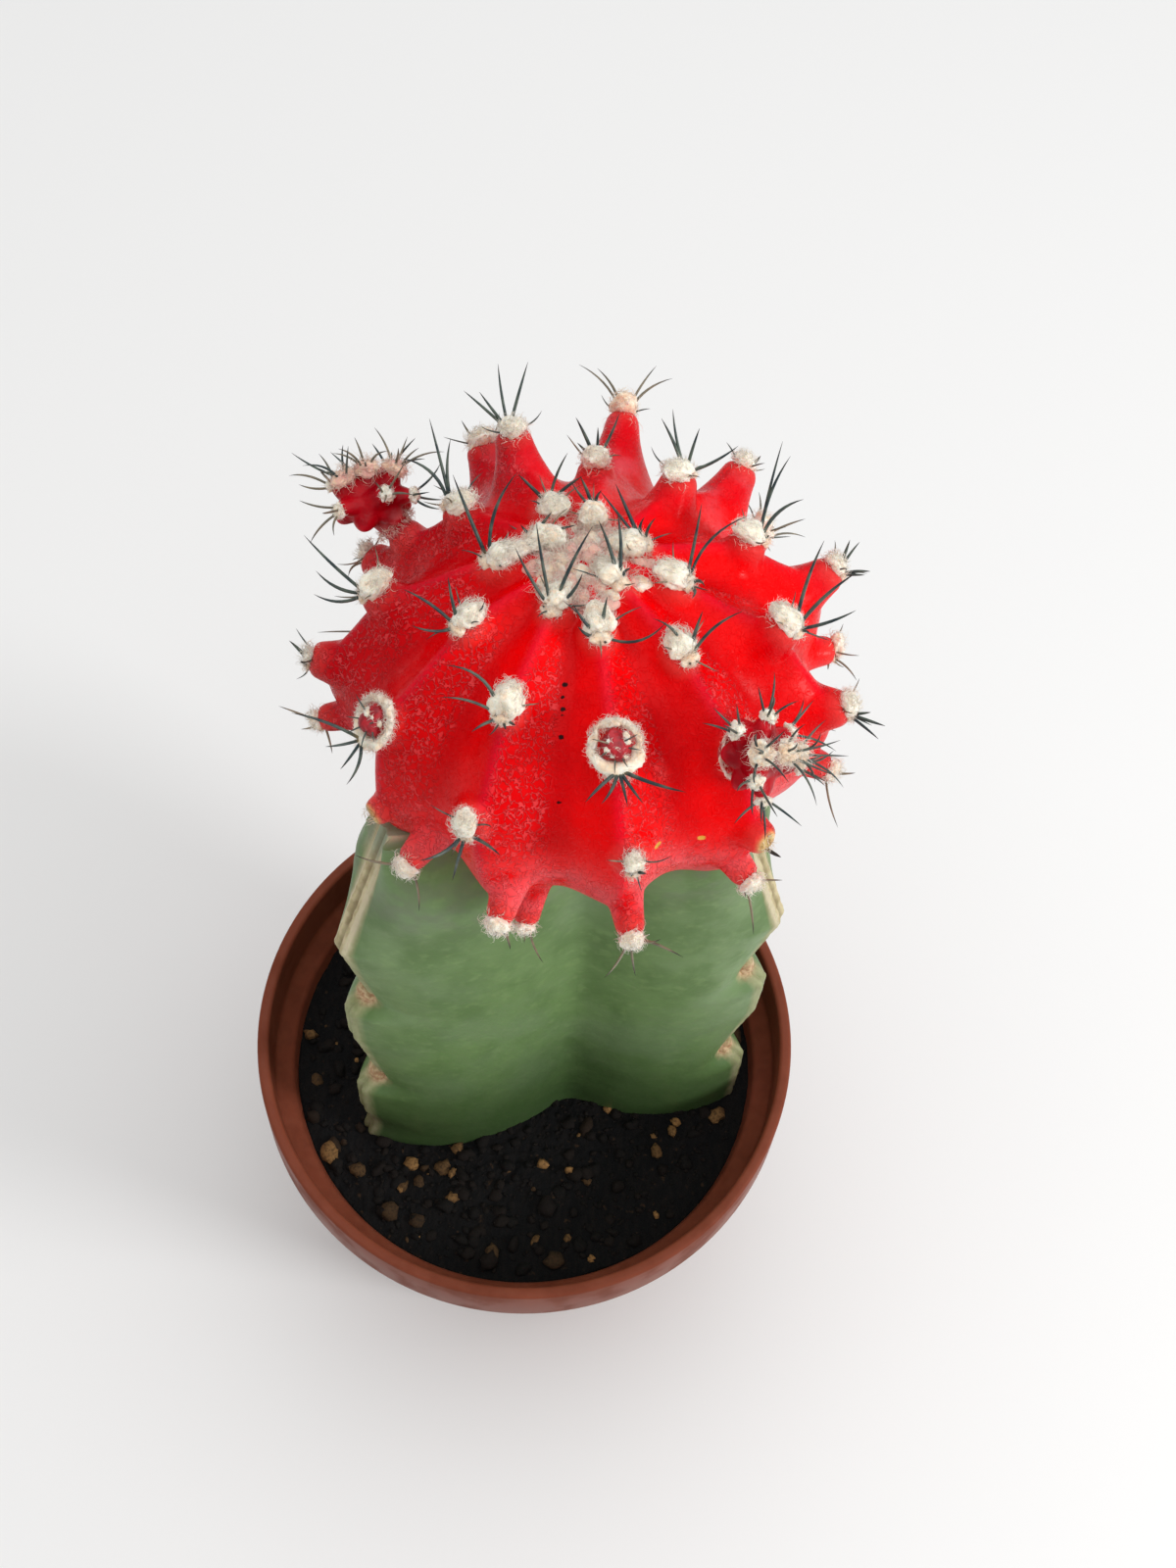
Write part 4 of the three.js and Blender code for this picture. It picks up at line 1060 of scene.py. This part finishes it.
spine_template = bar_template(6, 9)
draw = np.random.default_rng(17)
spine_parts = []
for areole in areoles:
    tip, rows = areole.tip, areole.rows
    facing = float(rows[2] @ towards_viewer)
    bleached = 0.75 * float(smooth(0.35 - facing, 0.05, 0.6)) + 0.7 * float(smooth(-areole.latitude, 2, 16))
    bleached = min(bleached, 1)
    if areole.key in SEEN_SPINES:
        clock, seen, curl = np.array(SEEN_SPINES[areole.key]).T
        clock = np.radians(clock)[:, None]
        across = (SEEN_RIGHT * np.sin(clock) + SEEN_UP * np.cos(clock)) @ HEAD_FRAME.T
        aside = (SEEN_RIGHT * np.cos(clock) - SEEN_UP * np.sin(clock)) @ HEAD_FRAME.T
        seen = seen * (1.25 if areole.latitude < LOW_LATITUDE else 1.0)
        lean = 0.45 * facing * draw.uniform(0.7, 1.3, len(seen))
        tips = tip + across * seen[:, None] + towards_viewer * (0.5 + lean * seen)[:, None]
        near_foot = (1.8, 0, 0.5) if areole.kind == "ring" else (0.6, 0, -0.15)
        roots = tip + np.array(near_foot) @ rows + across * 0.35
        fan = (roots, tips - roots, aside, np.linalg.norm(tips - roots, axis=1))
        curl = curl * 2.4 + draw.uniform(-0.15, 0.15, len(curl))
    elif areole.kind in ("offset", "bare"):
        continue
    else:
        count = 3 if areole.latitude < LOW_LATITUDE else 4
        fan = spine_fan(draw, tip, rows, count, 0.8, (24, 56), (3.4, 5.0))
        curl = draw.uniform(0.0, 0.6, count)
    thick = SPINE_RADIUS * (1 - 0.3 * bleached) * draw.uniform(0.85, 1.15, len(curl))
    spine_parts.append(spines_of(fan, thick, curl, bleached))
for areole in areoles:
    if areole.kind == "ring":
        count, bud_top = 6, areole.foot + areole.rows[2] * (areole.height + 0.8)
        fan = spine_fan(draw, bud_top, areole.rows, count, 0.6, (30, 75), (1.3, 2.0))
    elif areole.kind == "tuft" and areole.latitude > LOW_LATITUDE:
        count = 3
        fan = spine_fan(draw, areole.tip, areole.rows, count, 0.8, (40, 80), (1.8, 3.2))
    else:
        continue
    curl, bleached = draw.uniform(-0.6, 0.6, count), draw.choice((0.1, 0.9), count)
    spine_parts.append(spines_of(fan, np.full(count, FINE_SPINE_RADIUS), curl, bleached))

needle = new_material("horny_spine", roughness=0.42, specular_ior_level=0.4)
shaft = mixed(between(grain(1.4, 3.0), 0.35, 0.65), rgb(34, 52, 56), rgb(82, 94, 84))
tan_shaft = mixed(between(grain(1.0, 3.0), 0.35, 0.65), rgb(146, 132, 108), rgb(112, 106, 90))
shaft = mixed(read("bleached"), shaft, tan_shaft)
shaft = mixed(between(read("along"), 0.14, 0.0), shaft, rgb(150, 134, 96))
shaft = mixed(between(read("along"), 0.7, 0.97), shaft, rgb(26, 18, 18))
paint(shaft, (grain(0.3, 3.0), 0.3, 0.03))
grown("head_spines", spine_parts, needle, "scion", "along", "bleached")

# Offsets
# Two young offsets, each a lobed crimson ball that has sprouted from an areole and sits on it by
# a short neck. Old wool lies round the foot, and peach wool in the crown, which turns up towards
# the light. Each of the nine upper lobes has a tuft with fine spines.
OFFSET_VOXEL = 0.13
OFFSET_SMOOTHING = 4
OFFSET_SPINE_RADIUS = 0.11
# For each: its areole, how high it sits, its neck's length and radius, the ball's radius and
# height, the way its crown points, the tint of the crown's wool, and if felt rings its foot
OFFSETS = {
    "offset_left": ((4, 2), 0.6, 0.4, 1.5, 3.9, 5.8, (-0.15, 0.5, 0.85), 0.8, False),
    "offset_right": ((10, 2), 0.0, -0.8, 2.2, 3.7, 5.4, (0.62, -0.25, 0.6), 0.3, True),
}
OFFSET_FOOT_GAP = 0.3
# Latitude and azimuth of each lobe. The last six are low down, and have no wool.
OFFSET_LOBES = [(8 + 26 * (rib % 2), 60 * rib + 14 * (rib % 2)) for rib in range(6)]
OFFSET_LOBES += [(52, 150), (56, 330), (88, 0)] + [(-34, 60 * rib + 30) for rib in range(6)]
WOOLLY_LOBES = 9
LOBE_HEIGHT = 1.3
LOBE_WIDTH = 0.38


def lobe_near(ball, ways):
    """1 at the middle of a lobe, and 0 well away from all of them."""
    return np.exp(-((np.arccos(np.clip(ball @ ways.T, -1, 1)) / LOBE_WIDTH) ** 2)).max(axis=1)


pup_look = new_material("crimson_offset_skin", roughness=0.32, specular_ior_level=0.14,
                        subsurface_weight=0.15, subsurface_radius=(1.0, 0.12, 0.12), subsurface_scale=MM)
pup_colour = mixed(between(grain(2.4, 4.0), 0.36, 0.64), rgb(184, 3, 22), rgb(146, 1, 18))
# Painted shade: the grooves between the lobes keep the darker crimson, and the lobes turn brighter.
pup_colour = tinted(pup_colour, read("lobe"), 0.6, rgb(214, 26, 44))
pale_neck = times(read("neck"), between(grain(1.6, 3.0), 0.4, 0.6))
pup_colour = tinted(pup_colour, pale_neck, 0.55, rgb(216, 120, 120))
warts = cells(0.3, "SMOOTH_F1", (1, 1, 0.8), 1.0)
paint(pup_colour, (grain(1.2, 3.0), 0.3, 0.12), (warts, 0.6, 0.07))

draw = np.random.default_rng(31)
pup_wool, pup_hairs, pup_spines = [], [], []
latitude, turn = np.radians(np.array(OFFSET_LOBES)).T
flat = np.cos(latitude)
lobe_ways = np.stack([flat * np.cos(turn), flat * np.sin(turn), np.sin(latitude)], axis=1)
for name, numbers in OFFSETS.items():
    key, seat_height, neck_height, neck_radius, radius, tall, crown_way, crown_tint, ringed = numbers
    areole = next(areole for areole in areoles if areole.key == key)
    rows = areole.rows
    foot = areole.foot + rows[2] * (areole.height + seat_height + OFFSET_FOOT_GAP)
    middle = foot + rows[2] * (neck_height + tall / 2)
    crown = unit(HEAD_FRAME @ np.array(crown_way))
    aside = unit(np.cross(crown, rows[0]))
    pup_rows = np.stack([aside, np.cross(crown, aside), crown])
    half = np.array((radius, radius, tall / 2))
    pup = added(bpy.ops.mesh.primitive_uv_sphere_add, segments=120, ring_count=60, radius=MM)
    pup.name = pup.data.name = name + "_flesh"
    ball = unit(places_of(pup))
    lobes = np.maximum(lobe_near(ball, lobe_ways), 0.45 * smooth(-ball[:, 2], 0.45, 0.8))
    relief = LOBE_HEIGHT * lobes + 0.08 * wobble(ball, 0.5, radius)
    move_to(pup, middle + (ball * (half - LOBE_HEIGHT) + ball * relief[:, None]) @ pup_rows)
    bar, bar_faces = bar_template(40, 8)
    width = neck_radius * (0.8 + 0.3 * bar[:, 2]) * (1 + 0.06 * wobble(bar, 0.5, radius))
    stalk = np.stack([bar[:, 0] * width, bar[:, 1] * width, bar[:, 2] * (neck_height + 3.4) - 1.6], axis=1)
    fuse(pup, piece_from("neck", foot + stalk @ rows, bar_faces), OFFSET_VOXEL, OFFSET_SMOOTHING)
    places = places_of(pup)
    ball = unit((places - middle) @ pup_rows.T / half)
    mark(pup, "lobe", smooth(lobe_near(ball, lobe_ways), 0.5, 1.0))
    mark(pup, "neck", 1 - smooth((places - foot) @ rows[2], 0.2, neck_height + 1.2))
    move_to(pup, to_world(places))
    dress(pup, pup_look, "offset", name)
    for way in lobe_ways[:WOOLLY_LOBES]:
        tuft_rows = rows_on(unit(way / half), np.array((way[0], way[1], -1.0))) @ pup_rows
        centre = middle + (way * half) @ pup_rows
        seed = float(way @ (5.0, 7.0, 11.0))
        if way[2] > 0.6:
            size, count, length, tint, spine_count, spine_lengths = 1.35, 170, 1.2, crown_tint, 5, (2.6, 5.0)
        else:
            size, count, length, tint, spine_count, spine_lengths = 0.9, 90, 0.5, 0.1, 4, (2.2, 3.8)
        size = np.array((0.85, 0.85, 0.5)) * size
        pup_wool.append(puff(cap_template, centre, tuft_rows, size * 0.9, tint, seed, 0.4))
        pup_hairs.append(hairs(draw, centre, tuft_rows, size, count, length, tint))
        fan = spine_fan(draw, centre, tuft_rows, spine_count, 0.35, (20, 60), spine_lengths)
        radii, curl = np.full(spine_count, OFFSET_SPINE_RADIUS), draw.uniform(-0.5, 0.7, spine_count)
        pup_spines.append(spines_of(fan, radii, curl, float(draw.choice((0.0, 0.1, 0.7)))))
    if ringed:
        line = ring_line * ((neck_radius + 0.1) / RING_RADIUS)
        collar = line + (ring - ring_line) * 0.6 + wobble(ring, 0.8, radius)[:, None] * 0.3 - (0, 0, 0.2)
        pup_wool.append((foot + collar @ rows, ring_faces, np.full(len(ring), 0.2)))
    pup_hairs.extend(ring_hairs(draw, foot, rows, 0.95 * neck_radius + 0.1, 36, 0.4, 12, 0.7, 0.5, 0.3))
grown("offset_wool", pup_wool, felt, "offset", "tint")
grown("offset_hairs", pup_hairs, felt, "offset", "tint")
grown("offset_spines", pup_spines, needle, "offset", "along", "bleached")

# Floor
# A plain pale surface under the pot, as in the photo's background.
floor = added(bpy.ops.mesh.primitive_plane_add, size=6.0, location=(0, 0, 0))
floor.name = floor.data.name = "pale_floor"
paper = new_material("pale_paper", roughness=0.9, specular_ior_level=0.1, base_color=(0.86, 0.86, 0.855, 1))
floor.data.materials.append(paper)

# Light
# A window-like box low at the right, a very large soft box overhead, and a pale room.


def soft_box(name, place, size, power):
    """A square lamp at a place in millimetres, turned towards the plant's head."""
    lamp = added(bpy.ops.object.light_add, type="AREA", location=Vector(place) * MM)
    lamp.name = lamp.data.name = name
    lamp.data.shape = "SQUARE"
    lamp.data.size = size * MM
    lamp.data.energy = power
    aim = Vector((0, 0, 90.0)) - Vector(place)
    lamp.rotation_euler = aim.to_track_quat("-Z", "Y").to_euler()


soft_box("window_box", (430, -150, 290), 120, 1.15)
soft_box("overhead_box", (40, 60, 900), 1100, 4.6)
room_light = bpy.data.worlds.new("pale_room")
room_light.use_nodes = True
background = room_light.node_tree.nodes["Background"]
background.inputs["Color"].default_value = (1, 1, 1, 1)
background.inputs["Strength"].default_value = 0.5
bpy.context.scene.world = room_light
bpy.context.scene.view_settings.view_transform = "Standard"

# Camera
# It stands where the photo was taken, above and in front of the pot, looking down at it.
CAMERA_PLACE = (4.694, -88.361, 287.252)
CAMERA_RIGHT = Vector((0.99658, 0.07382, 0.03709))
CAMERA_UP = Vector((-0.08261, 0.89048, 0.44747))
camera = added(bpy.ops.object.camera_add)
turned = Matrix((CAMERA_RIGHT, CAMERA_UP, CAMERA_RIGHT.cross(CAMERA_UP))).transposed().to_4x4()
turned.translation = Vector(CAMERA_PLACE) * MM
camera.matrix_world = turned
camera.data.lens = 51.75
camera.data.sensor_width = 36
camera.data.clip_start = 0.005
bpy.context.scene.camera = camera
